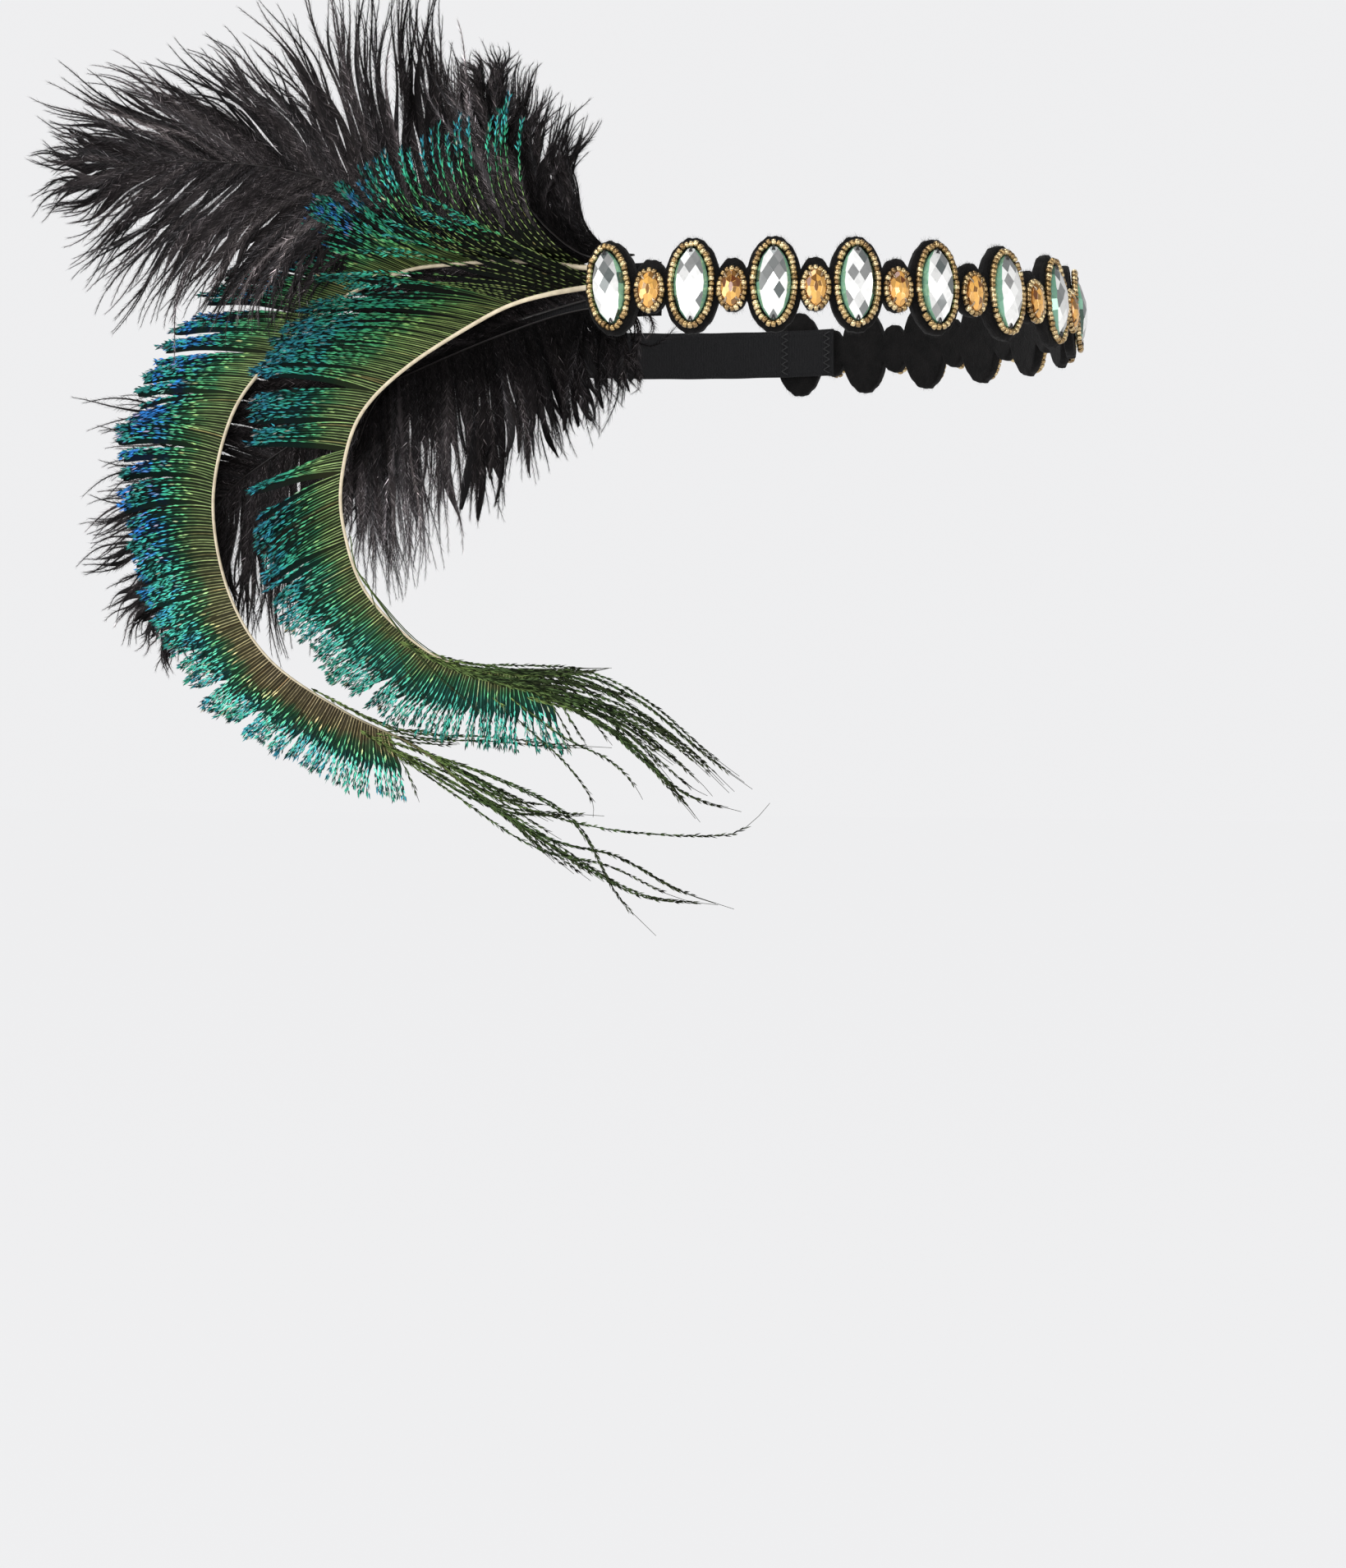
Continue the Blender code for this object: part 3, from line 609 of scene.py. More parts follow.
def make_felt_band(material):
    end = FELT_HALF - FELT_BLUNT_END

    def place(around, along):
        arc = -end + 2 * end * along
        lower, upper = felt_edges(arc)
        across, through = rounded_section(around)
        up = (lower + upper) / 2 + (upper - lower) / 2 * across
        lump = FELT_LUMPS * (np.sin(arc * 5200 + up * 1900) + np.sin(arc * 2100 - up * 4100))
        depth = FELT_THICKNESS / 2 * (1 + through) + lump * (through > 0)
        return felt_points(arc, up, depth)

    band = rolled_grid("felt_base", FELT_AROUND, FELT_COLUMNS, place)
    return finished(band, material, "black_felt", "felt_band")


FIBRE_COUNT = 9000
FIBRE_LENGTH = (0.0004, 0.0013)
FIBRES_AT_EDGE = 0.75
FIBRE_FOOT = (0.00004, 0.00003)


def make_felt_fibres(material):
    """Short loose fibres that stand off the felt, most of them along its cut edge."""
    dice = np.random.default_rng(31)
    arc = dice.uniform(-FELT_HALF, FELT_HALF, FIBRE_COUNT) * 0.998
    lower, upper = felt_edges(arc)
    at_edge = dice.random(FIBRE_COUNT) < FIBRES_AT_EDGE
    on_top = dice.random(FIBRE_COUNT) < 0.5
    up = np.where(on_top, upper, lower)
    up = np.where(at_edge, up, dice.uniform(lower, upper))
    depth = np.where(at_edge, dice.uniform(0.1, 0.9, FIBRE_COUNT), 0.97) * FELT_THICKNESS
    root = felt_points(arc, up, depth)
    away = np.where(at_edge, np.where(on_top, 1.0, -1.0), 0.0)
    length = dice.uniform(*FIBRE_LENGTH, FIBRE_COUNT)
    tip_up = up + length * (away * 0.8 + dice.normal(0, 0.35, FIBRE_COUNT))
    tip_arc = arc + length * dice.normal(0, 0.6, FIBRE_COUNT)
    tip_depth = depth + length * np.where(at_edge, dice.normal(0, 0.4, FIBRE_COUNT), 0.35)
    tip = felt_points(tip_arc, tip_up, tip_depth)
    side = felt_points(arc + FIBRE_FOOT[0], up, depth + FIBRE_FOOT[1])
    places = np.stack([root, side, tip], 1)
    faces = np.arange(FIBRE_COUNT * 3).reshape(-1, 3)
    fibres = joined_mesh("felt_fibres", places, faces)
    return finished(fibres, material, "black_felt")


# The elastic

ELASTIC_COLUMNS = 240
ELASTIC_AROUND = 72
ELASTIC_RIBS = 11
RIB_DEPTH = 0.00013
ELASTIC_PINCH = 0.00005
WEAVE_PITCH = 0.00055


def make_elastic_band(material):
    """A ribbed elastic round the back of the head, with its ends under the felt."""
    start = FELT_HALF - ELASTIC_OVERLAP
    length = HEAD_LENGTH_ROUND - 2 * start

    def place(around, along):
        across, through = rounded_section(around)
        arc = start + length * along
        ribs = 0.5 + 0.5 * np.cos(across * math.pi * ELASTIC_RIBS)
        half = ELASTIC_THICKNESS / 2
        depth = half + through * (half - RIB_DEPTH * ribs)
        pinch = ELASTIC_PINCH * np.sin(arc * 4800)
        return band_points(arc, across * (ELASTIC_HALF_HEIGHT + pinch), depth)

    band = rolled_grid("elastic_back", ELASTIC_AROUND, ELASTIC_COLUMNS, place)
    places = vertex_places(band.data)
    turn = np.arctan2(places[:, 0] / HEAD_HALF_WIDTH, -places[:, 1] / HEAD_HALF_LENGTH)
    arc = np.interp(turn, OVAL_TURNS, OVAL_ARCS) % HEAD_LENGTH_ROUND
    values = np.stack([arc / WEAVE_PITCH, places[:, 2] / (2 * ELASTIC_HALF_HEIGHT)], -1)
    give_map(band.data, "weave", values)
    return finished(band, material, "black_elastic", "elastic_band")


# Thread. Its stitches: length, rise and radius

TIP_STITCH = (0.0021, 0.0009, 0.00021)
TIP_STITCH_LEANS = (-0.35, 0.3)
TIP_STITCH_PLACE = (0.00018, 0.00955, 0.0010)
ZIGZAG_STITCH = (0.0024, 0.00022, 0.00016)
ZIGZAG_LEAN = 0.5
ZIGZAG_COUNT = 12
ZIGZAG_STEP = 0.00112
ZIGZAG_MARGIN = 0.0013
ZIGZAG_STAND = 0.00005
ZIGZAG_ROWS = (FELT_HALF - ELASTIC_OVERLAP + 0.0022, FELT_HALF - 0.0035)


def thread_master(name, length, rise, radius, sides=6, stations=8):
    """A stitch along X that comes up out of the cloth, bows over and goes down again."""

    def place(around, along):
        turn = 2 * math.pi * around
        bow = np.sin(math.pi * along)
        slope = rise * math.pi / length * np.cos(math.pi * along)
        run = np.sqrt(1 + slope * slope)
        lift = rise * bow + radius * np.sin(turn) / run
        x = (along - 0.5) * length - radius * np.sin(turn) * slope / run
        return np.stack([x, radius * np.cos(turn), lift], -1)

    return rolled_grid(name, sides, stations, place)


def make_crystal_stitches(material):
    """Two stitches that cross at each tip of each crystal."""
    loop = thread_master("loop_master", *TIP_STITCH)
    aside, reach, rise = TIP_STITCH_PLACE
    seats = []
    for index in range(CRYSTAL_COUNT):
        for end in (-1, 1):
            for lean in TIP_STITCH_LEANS:
                shift = Matrix.Translation((math.copysign(aside, lean), end * reach, rise))
                turn = Matrix.Rotation(math.pi / 2 + lean, 4, "Z")
                seats.append(crystal_seat(index) @ shift @ turn)
    tips = scattered("crystal_stitches", loop, seats)
    put_away(loop)
    finished(tips, material, "black_felt")


def zigzag_seat(arc, row):
    """The seat of one stitch of a zigzag row, on the elastic's inner face."""
    up = -ELASTIC_HALF_HEIGHT + ZIGZAG_MARGIN + row * ZIGZAG_STEP
    inside = Vector(band_points(arc, up, 0.0))
    deeper = Vector(band_points(arc, up, -0.001))
    z_axis = (deeper - inside).normalized()
    y_axis = Vector((0, 0, 1))
    x_axis = y_axis.cross(z_axis)
    axes = Matrix((x_axis, y_axis, z_axis)).transposed().to_4x4()
    lean = Matrix.Rotation(ZIGZAG_LEAN if row % 2 else -ZIGZAG_LEAN, 4, "Z")
    return Matrix.Translation(inside + z_axis * ZIGZAG_STAND) @ axes @ lean


def make_elastic_stitches(material):
    """The zigzag rows that hold the elastic's ends."""
    zig = thread_master("zigzag_master", *ZIGZAG_STITCH, sides=5, stations=5)
    seats = []
    for side in (-1, 1):
        for arc in ZIGZAG_ROWS:
            seats += [zigzag_seat(side * arc, row) for row in range(ZIGZAG_COUNT)]
    rows = scattered("elastic_stitches", zig, seats)
    put_away(zig)
    finished(rows, material, "black_elastic")


# The stones


def cut(plane_place, plane_normal):
    """One facet: what lies above the plane goes, and the cut is closed."""
    facing = Vector(plane_normal).normalized()
    bpy.ops.mesh.select_all(action="SELECT")
    bpy.ops.mesh.bisect(
        plane_co=plane_place, plane_no=facing, use_fill=True, clear_outer=True, threshold=1e-7
    )


# The painted reflections on the facets: how fine the ways are told apart, the share of facets painted as
# dark reflections on the steep rim and on the upper and lower half of the dome, and where the dark painted
# tones end and the light ones begin
WAY_STEPS = 30
WAY_SHIFT = 60.2
RIM_TILT = 0.75
DARK_REFLECTION_SHARES = {"rim": 0.15, "upper": 0.52, "lower": 0.14}
DARK_REFLECTION_TO = 0.30
LIGHT_REFLECTION_FROM = 0.45
GLASS_FROM = 0.9
GLASS_FADE = 0.35

# The line between a stone's halves leans a hair and passes a hair off its middle. Rounding would
# otherwise decide on which side a facet on the line counts, and that changes from run to run
HALVES_LEAN = 0.001
CRYSTAL_HALVES_AT = 0.000001
AMBER_HALVES_AT = -0.000001


def facet_map(mesh, seed, halves_at):
    """Gives each facet its painted reflection tone, light or dark, and how steep it is, for the finish to
    read.
    The tone hangs on the way the facet faces, so it is the same in every run."""
    layer = mesh.uv_layers.new(name="facet")
    for face in mesh.polygons:
        way = face.normal
        steps = [round(WAY_STEPS * turn + WAY_SHIFT) for turn in (way.x, way.y)]
        dice = np.random.default_rng((seed, *steps))
        tone = float(dice.random())
        # Facets in the upper half are painted as dark reflections more often, as if they mirrored the dim
        # overhead.
        part = "upper" if face.center.y > halves_at + HALVES_LEAN * face.center.x else "lower"
        part = "rim" if way.z < RIM_TILT else part
        dark = dice.random() < DARK_REFLECTION_SHARES[part]
        tone = DARK_REFLECTION_TO * tone if dark else LIGHT_REFLECTION_FROM + (1 - LIGHT_REFLECTION_FROM) * tone
        steep = max(0.0, GLASS_FROM - way.z) / GLASS_FADE
        for corner in face.loop_indices:
            layer.data[corner].uv = (tone, steep)


def navette(name, half, height, sides, point):
    """A pointed oval blank: a filled circle, drawn out to two tips and raised to its height."""
    bpy.ops.object.select_all(action="DESELECT")
    bpy.ops.mesh.primitive_circle_add(vertices=sides, radius=1.0, fill_type="NGON")
    stone = picked_up(name)
    places = vertex_places(stone.data)
    turn = np.arctan2(places[:, 1], places[:, 0])
    places[:, 0] = np.sign(np.cos(turn)) * np.abs(np.cos(turn)) ** (2 * point) * half[0]
    places[:, 1] = np.sin(turn) * half[1]
    set_places(stone.data, places)
    bpy.ops.object.mode_set(mode="EDIT")
    bpy.ops.mesh.select_all(action="SELECT")
    bpy.ops.mesh.extrude_region_move(TRANSFORM_OT_translate={"value": (0.0, 0.0, height)})
    bpy.ops.mesh.select_all(action="SELECT")
    bpy.ops.mesh.normals_make_consistent(inside=False)
    return stone


FACET_EDGE = 0.00005
FACET_ANGLE = math.radians(6)


def edges_broken(stone, seed, halves_at):
    """Ends the cutting, takes the sharpness off the edges and gives the facets their map."""
    bpy.ops.object.mode_set(mode="OBJECT")
    bevel = stone.modifiers.new("facet_edges", "BEVEL")
    bevel.width = FACET_EDGE
    bevel.segments = 1
    bevel.limit_method = "ANGLE"
    bevel.angle_limit = FACET_ANGLE
    apply_all(stone)
    facet_map(stone.data, seed, halves_at)
    return stone


# The crystal reaches to its beads. Its dome falls off by the square of the distance
CRYSTAL_HALF = (0.0048, 0.0104)
CRYSTAL_HEIGHT = 0.0037
CRYSTAL_GIRDLE = 0.0010
CRYSTAL_SIDES = 40
CRYSTAL_POINT = 0.66
CRYSTAL_FALL = (60.0, 24.6)
LOZENGE_HALF = (0.0016, 0.0025)
LOZENGE_COLUMNS = 2
LOZENGE_ROWS = 4
RIM_FACETS = 16
RIM_REACH = (0.96, 0.97)
RIM_LIFT = 0.0004
RIM_SLOPE = 1.9


def crystal_master(seed):
    """A flat-backed crystal: lozenge facets on a dome, and a ring of steep facets at its rim."""
    stone = navette("crystal_master", CRYSTAL_HALF, CRYSTAL_HEIGHT, CRYSTAL_SIDES, CRYSTAL_POINT)
    for column in range(-LOZENGE_COLUMNS, LOZENGE_COLUMNS + 1):
        for row in range(-LOZENGE_ROWS, LOZENGE_ROWS + 1):
            if (column + row) % 2 or column == row == 0:
                continue
            x, y = column * LOZENGE_HALF[0], row * LOZENGE_HALF[1]
            rise = CRYSTAL_HEIGHT - CRYSTAL_FALL[0] * x * x - CRYSTAL_FALL[1] * y * y
            if rise > CRYSTAL_GIRDLE:
                cut((x, y, rise), (2 * CRYSTAL_FALL[0] * x, 2 * CRYSTAL_FALL[1] * y, 1.0))
    for k in range(RIM_FACETS):
        turn = 2 * math.pi * (k + 0.5) / RIM_FACETS
        bulge = abs(math.cos(turn)) ** (2 * CRYSTAL_POINT)
        x = math.copysign(bulge, math.cos(turn)) * CRYSTAL_HALF[0]
        y = math.sin(turn) * CRYSTAL_HALF[1]
        slope = Vector((x / CRYSTAL_HALF[0] ** 2, y / CRYSTAL_HALF[1] ** 2)).normalized()
        edge = (x * RIM_REACH[0], y * RIM_REACH[1], CRYSTAL_GIRDLE + RIM_LIFT)
        cut(edge, (slope.x * RIM_SLOPE, slope.y * RIM_SLOPE, 1.0))
    return edges_broken(stone, seed, CRYSTAL_HALVES_AT)


def make_crystals(material):
    for index in range(CRYSTAL_COUNT):
        master = crystal_master(100 + index)
        name = f"faceted_crystal_{index + 1:02d}"
        stone = placed_copy(master, name, crystal_seat(index))
        put_away(master)
        finished(stone, material, "mint_crystal", f"crystal_{index + 1:02d}")


AMBER_HALF = (0.0028, 0.0051)
AMBER_HEIGHT = 0.0021
AMBER_SEAT = 0.0010
AMBER_SIDES = 24
AMBER_POINT = 0.72
AMBER_FALL = 0.55

# Rings of facets: reach, steepness, facets, and how far they are turned, as a share of a facet
AMBER_RINGS = ((0.86, 1.1, 8, 0.0), (0.62, 0.62, 8, 0.5), (0.40, 0.32, 8, 0.5))


def amber_master(seed):
    """A small pointed oval with a long table and three rings of facets."""
    stone = navette("amber_master", AMBER_HALF, AMBER_HEIGHT, AMBER_SIDES, AMBER_POINT)
    for reach, steepness, count, turned in AMBER_RINGS:
        for k in range(count):
            turn = 2 * math.pi * (k + turned) / count
            x = math.cos(turn) * AMBER_HALF[0] * reach
            y = math.sin(turn) * AMBER_HALF[1] * reach
            slope = Vector((x / AMBER_HALF[0] ** 2, y / AMBER_HALF[1] ** 2)).normalized()
            rise = AMBER_HEIGHT * (1.0 - AMBER_FALL * reach * reach)
            cut((x, y, rise), (slope.x * steepness, slope.y * steepness, 1.0))
    return edges_broken(stone, seed, AMBER_HALVES_AT)


# The cup under an amber stone: shares along its wall, its reach past the stone and its height
CUP_WALL = (0.0, 0.25, 0.5, 0.75, 1.0)
CUP_REACH = (0.90, 1.13, 1.16, 1.10, 1.02)
CUP_RISE = (0.0, 0.0, 0.0007, 0.0013, 0.0013)
CUP_POINT = 1.3

# A claw at each corner: shares along it, how far out it stands, its height, and its half width
CLAW_CORNERS = ((1, 1), (-1, 1), (-1, -1), (1, -1))
CLAW_PLACE = (0.66 * AMBER_HALF[0], 0.74 * AMBER_HALF[1])
CLAW_SPINE = (0.0, 0.5, 0.8, 1.0)
CLAW_REACH = (1.08, 1.06, 0.86, 0.66)
CLAW_RISE = (0.0002, 0.0018, 0.0025, 0.0024)
CLAW_TAPER = (0.0, 0.8, 1.0)
CLAW_HALF = (0.00042, 0.00036, 0.00018)
CLAW_FLATNESS = (0.4, 0.7)


def cup_places(around, along):
    turn = 2 * math.pi * around
    grow = np.interp(along, CUP_WALL, CUP_REACH)
    x = np.sign(np.cos(turn)) * np.abs(np.cos(turn)) ** CUP_POINT * AMBER_HALF[0] * grow
    return np.stack([x, np.sin(turn) * AMBER_HALF[1] * grow, np.interp(along, CUP_WALL, CUP_RISE)], -1)


def claw_at(side, end):
    """Gives the places of the claw at one corner, which rises and bends in over the stone."""

    def place(around, along):
        turn = 2 * math.pi * around
        out = np.interp(along, CLAW_SPINE, CLAW_REACH)
        rise = np.interp(along, CLAW_SPINE, CLAW_RISE)
        wide = np.interp(along, CLAW_TAPER, CLAW_HALF)
        x = side * (CLAW_PLACE[0] * out) + wide * np.cos(turn)
        y = end * (CLAW_PLACE[1] * out) + wide * CLAW_FLATNESS[0] * np.sin(turn)
        return np.stack([x, y, rise + wide * CLAW_FLATNESS[1] * np.sin(turn)], -1)

    return place


def claw_setting_master():
    """The metal cup under an amber stone, with four claws bent over its edge."""
    setting = rolled_grid("setting_master", 32, 8, cup_places)
    claws = [rolled_grid(f"claw_{k}", 8, 8, claw_at(*corner)) for k, corner in enumerate(CLAW_CORNERS)]
    bpy.ops.object.select_all(action="DESELECT")
    for piece in claws + [setting]:
        piece.select_set(True)
    bpy.context.view_layer.objects.active = setting
    bpy.ops.object.join()
    return setting


BEAD_OUTER = 0.00096
BEAD_HOLE = 0.00030
BEAD_LENGTH = 0.00130
BEAD_SIDES = 9
BEAD_SECTION = 6
CRYSTAL_BEADS = 40
AMBER_BEADS = 20
AMBER_RING_HALF = (0.00345, 0.00555)

# How much the sewn beads differ: along the ring, out of it, in their way, size and height
BEAD_SLIP = 0.10
BEAD_OUT = 0.012
BEAD_TILT = (0.10, 0.10, 0.07)
BEAD_SIZE = 0.045
BEAD_RISE = 0.00004


def bead_master():
    """A seed bead, with its hole along Z: a torus drawn out to a short blunt tube."""
    bpy.ops.object.select_all(action="DESELECT")
    middle, ring = (BEAD_OUTER + BEAD_HOLE) / 2, (BEAD_OUTER - BEAD_HOLE) / 2
    bpy.ops.mesh.primitive_torus_add(
        major_segments=BEAD_SIDES, minor_segments=BEAD_SECTION, major_radius=middle, minor_radius=ring
    )
    bead = picked_up("bead_master")
    places = vertex_places(bead.data)
    radius = np.hypot(places[:, 0], places[:, 1])
    out, rise = (radius - middle) / ring, places[:, 2] / ring
    blunt = middle + ring * np.sign(out) * np.sqrt(np.abs(out))
    places[:, :2] *= (blunt / radius)[:, None]
    places[:, 2] = BEAD_LENGTH / 2 * np.sign(rise) * np.sqrt(np.abs(rise))
    set_places(bead.data, places)
    return bead


def bead_seats(half, count, height, dice):
    """Places evenly round an oval, with each bead's hole along it and small slips of its own."""
    turns = np.linspace(0, 2 * math.pi, 721)
    pieces = np.hypot(np.diff(half[0] * np.sin(turns)), np.diff(half[1] * np.cos(turns)))
    lengths = np.concatenate(([0.0], np.cumsum(pieces)))
    wanted = (np.arange(count) + dice.uniform(-BEAD_SLIP, BEAD_SLIP, count)) / count * lengths[-1]
    seats = []
    for turn in np.interp(wanted, lengths, turns):
        out = 1 + dice.normal(0, BEAD_OUT)
        place = (half[0] * math.sin(turn) * out, half[1] * math.cos(turn) * out)
        way = Vector((half[0] * math.cos(turn), -half[1] * math.sin(turn), 0.0)).normalized()
        tilt = Vector([dice.normal(0, amount) for amount in BEAD_TILT])
        axes = (way + tilt).normalized().to_track_quat("Z", "Y").to_matrix().to_4x4()
        size = Matrix.Scale(float(dice.normal(1.0, BEAD_SIZE)), 4)
        lift = height + dice.normal(0, BEAD_RISE)
        seats.append(Matrix.Translation((*place, lift)) @ axes @ size)
    return seats


def make_beads_and_ambers(gold, metal, amber):
    """The strings of beads round the stones, and the amber stones in their claw settings."""
    bead = bead_master()
    setting = claw_setting_master()
    dice = np.random.default_rng(77)
    for index in range(CRYSTAL_COUNT):
        seat = crystal_seat(index)
        seats = [seat @ local for local in bead_seats(BEAD_RING_HALF, CRYSTAL_BEADS, BEAD_OUTER, dice)]
        tones = dice.random((len(seats), 2))
        ring = scattered(f"crystal_beads_{index + 1:02d}", bead, seats, tones)
        ring.data.shade_smooth()
        finished(ring, gold, "gold_beads", f"bead_ring_{index + 1:02d}")
    for index in range(AMBER_COUNT):
        seat = amber_seat(index)
        number = f"{index + 1:02d}"
        node = f"amber_motif_{number}"
        seats = [seat @ local for local in bead_seats(AMBER_RING_HALF, AMBER_BEADS, BEAD_OUTER, dice)]
        ring = scattered(f"amber_beads_{number}", bead, seats, dice.random((len(seats), 2)))
        ring.data.shade_smooth()
        finished(ring, gold, "gold_beads", node)
        cup = placed_copy(setting, f"amber_setting_{number}", seat)
        finished(cup, metal, "gold_beads", node)
        master = amber_master(300 + index)
        stone = placed_copy(master, f"amber_stone_{number}", seat @ Matrix.Translation((0, 0, AMBER_SEAT)))
        put_away(master)
        finished(stone, amber, "amber_glass", node)
    put_away(bead)
    put_away(setting)


# The feathers lie near the plane that touches the head at the first crystal

ROOT_ARC = -ROW_HALF
ROOT = band_points(ROOT_ARC, 0.0, QUILL_DEPTH)
OUTWARD = band_points(ROOT_ARC, 0.0, 1.0) - band_points(ROOT_ARC, 0.0, 0.0)
OUTWARD = OUTWARD / np.linalg.norm(OUTWARD)
BACKWARD = np.array((-OUTWARD[1], OUTWARD[0], 0.0))
BACKWARD = BACKWARD * np.sign(BACKWARD[1])
UPWARD = np.array((0.0, 0.0, 1.0))
ROUTE_STEPS = 24
STATIONS = 22
ALONG = np.linspace(0, 1, STATIONS)
STOUT_TO = 0.15
WAVE_TURNS = 1.3
LIFT_EASE = 0.15
ROOT_SLIP = 0.12
ROOT_INSIDE = 0.4
LEAST_BEND = 0.01
SPREAD_LATE = 1.6


def side_points(feather, back, up, lift):
    """Places on a feather, which stands off the head in its own layer and flares outwards."""
    reach = np.hypot(back, up - feather["quill"][0][1])
    past = np.maximum(back - FLARE_START, 0.0)
    out = feather["layer"] * ease((reach - LAYER_START) / LAYER_RUN)
    out = out + FLARE * past * past / (past + FLARE_EASE)
    bow, bow_start = feather["bow"]
    out = out + bow * np.maximum(reach - bow_start, 0.0) ** 2 + lift
    return ROOT + back[..., None] * BACKWARD + out[..., None] * OUTWARD + up[..., None] * UPWARD


def smooth_line(knots):
    """A smooth line through knots: its points, headings, shares of length, and length."""
    places = np.array(knots, float)
    padded = np.vstack([2 * places[0] - places[1], places, 2 * places[-1] - places[-2]])
    points = []
    for k in range(1, len(padded) - 2):
        a, b, c, d = padded[k - 1 : k + 3]
        for t in np.arange(ROUTE_STEPS) / ROUTE_STEPS:
            level = 2 * b + (c - a) * t + (2 * a - 5 * b + 4 * c - d) * t * t
            points.append((level + (3 * b - a - 3 * c + d) * t**3) / 2)
    points.append(places[-1])
    points = np.array(points)
    lengths = np.concatenate(([0.0], np.cumsum(np.hypot(*np.diff(points, axis=0).T))))
    slopes = np.gradient(points, axis=0)
    headings = np.unwrap(np.arctan2(slopes[:, 1], slopes[:, 0]))
    return points, headings, lengths / lengths[-1], lengths[-1]


def quill_half_width(feather, along):
    """Half the quill's width. It is the solid's own by a share, which goes from the first of
    stout at the root to the second."""
    wide = (QUILL_WIDTH + (QUILL_TIP_WIDTH - QUILL_WIDTH) * along) / 2
    return wide * np.interp(along, (0.0, STOUT_TO), feather["stout"])


def barb_roots(first, quill_length, pitch, dice):
    """Shares of the quill from the first barb to its tip, a pitch apart, each a little off."""
    count = int(quill_length * (1 - first) / pitch)
    slip = dice.uniform(-ROOT_SLIP, ROOT_SLIP, count)
    return np.clip(first + (1 - first) * (np.arange(count) + slip) / count, 0.0, 1.0)


def barb_forms(feather, side, root, looks, dice):
    """The length, angle and bend of each barb, the number of its clump, and what its clump has
    in common: three random values."""
    rows = np.array(feather[side], float)
    length, angle, bend = (np.interp(root, rows[:, 0], rows[:, k]) for k in (1, 2, 3))
    count = len(root)
    sizes = dice.integers(looks["clump"][0], looks["clump"][1] + 1, count)
    clump = np.repeat(np.arange(count), sizes)[:count]
    common = dice.normal(0, 1, (clump.max() + 1, 3))[clump]
    length = length * (1 + looks["ragged"] * (0.6 * dice.normal(0, 1, count) + 0.6 * common[:, 0]))
    length = length * (1 - looks["thinning"] * dice.random(count) ** 2)
    alone, together = looks["alone"], looks["together"]
    angle = angle + looks["stray"] * (alone * dice.normal(0, 1, count) + together * common[:, 1])
    bend = bend + looks["curl"] * (alone * dice.normal(0, 1, count) + together * common[:, 2])
    for share, degrees, fall in feather.get("partings", ()):
        angle = angle - degrees * np.sign(root - share) * np.exp(-np.abs(root - share) / fall)
    return length, angle, bend, clump, common


def drawn_together(feather, root, clump, quill_length, looks):
    """How far the barbs are drawn along the quill, more and more towards their clump's middle."""
    middle = (np.bincount(clump, root) / np.bincount(clump))[clump]
    gathered = np.array(feather["gathered"])
    draw = (middle - root) * quill_length * np.interp(root, gathered[:, 0], gathered[:, 1])
    return draw[:, None] * ALONG ** looks["drawn_late"]


def barb_courses(feather, side, looks, dice):
    """The courses of the barbs on one side of a quill: places (barb, station, 3), the shares of
    the quill at their roots, and their lengths."""
    points, headings, shares, quill_length = smooth_line(feather["quill"])
    root = barb_roots(feather[side][0][0], quill_length, feather.get("pitch", looks["pitch"]), dice)
    length, angle, bend, clump, common = barb_forms(feather, side, root, looks, dice)
    heading = np.interp(root, shares, headings)
    straighter = feather.get("straighter", 0.0)
    start = heading + np.radians(angle + straighter * bend / 2)
    turn = np.radians((1 - straighter) * bend)
    turn = np.where(np.abs(turn) < LEAST_BEND, LEAST_BEND, turn)
    bent = start[:, None] + turn[:, None] * ALONG
    scale = (length / turn)[:, None]
    sign = 1 if side == "left" else -1
    half = sign * ROOT_INSIDE * quill_half_width(feather, root)
    root_back = np.interp(root, shares, points[:, 0]) - np.sin(heading) * half
    root_up = np.interp(root, shares, points[:, 1]) + np.cos(heading) * half
    back = root_back[:, None] + scale * (np.sin(bent) - np.sin(start)[:, None])
    up = root_up[:, None] + scale * (np.cos(start)[:, None] - np.cos(bent))
    draw = drawn_together(feather, root, clump, quill_length, looks)
    back = back + draw * np.cos(heading)[:, None]
    up = up + draw * np.sin(heading)[:, None]
    phase = dice.uniform(0, 2 * math.pi, clump.max() + 1)[clump] + dice.normal(0, 0.5, len(root))
    swing = np.sin(2 * math.pi * WAVE_TURNS * ALONG + phase[:, None])
    wave = feather.get("wave", looks["wave"]) * swing * ALONG
    back = back - wave * np.sin(bent)
    up = up + wave * np.cos(bent)
    spread = looks["depth"] * (0.7 * common[:, 1] + 0.5 * dice.normal(0, 1, len(root)))
    lift = spread[:, None] * ALONG**SPREAD_LATE
    lifted = np.array(feather.get("lifted", ((0.0, 0.0),)))
    lift = lift + np.interp(root, lifted[:, 0], lifted[:, 1])[:, None] * ease(ALONG / LIFT_EASE)
    return side_points(feather, back, up, lift), root, length


def strand_courses(feather, strands, spread, dice):
    """Courses of single loose strands through knots given in millimetres."""
    courses, lengths = [], []
    for strand in strands:
        points, _, shares, length = smooth_line(np.array(strand["knots"]) / 1000)
        for copy in range(strand["count"]):
            reach = 1.0 - 0.10 * copy * dice.random()
            wanted = np.linspace(0, reach, STATIONS)
            slip = spread * dice.normal(0, 1, 2) * (copy > 0)
            back = np.interp(wanted, shares, points[:, 0]) + slip[0] * np.sin(3 * wanted)
            up = np.interp(wanted, shares, points[:, 1]) + slip[1] * np.sin(3 * wanted)
            lift = spread * dice.normal(0, 1) * wanted + strand.get("lift", 0.0)
            courses.append(side_points(feather, back, up, lift))
            lengths.append(length)
    return np.array(courses), np.array(lengths)


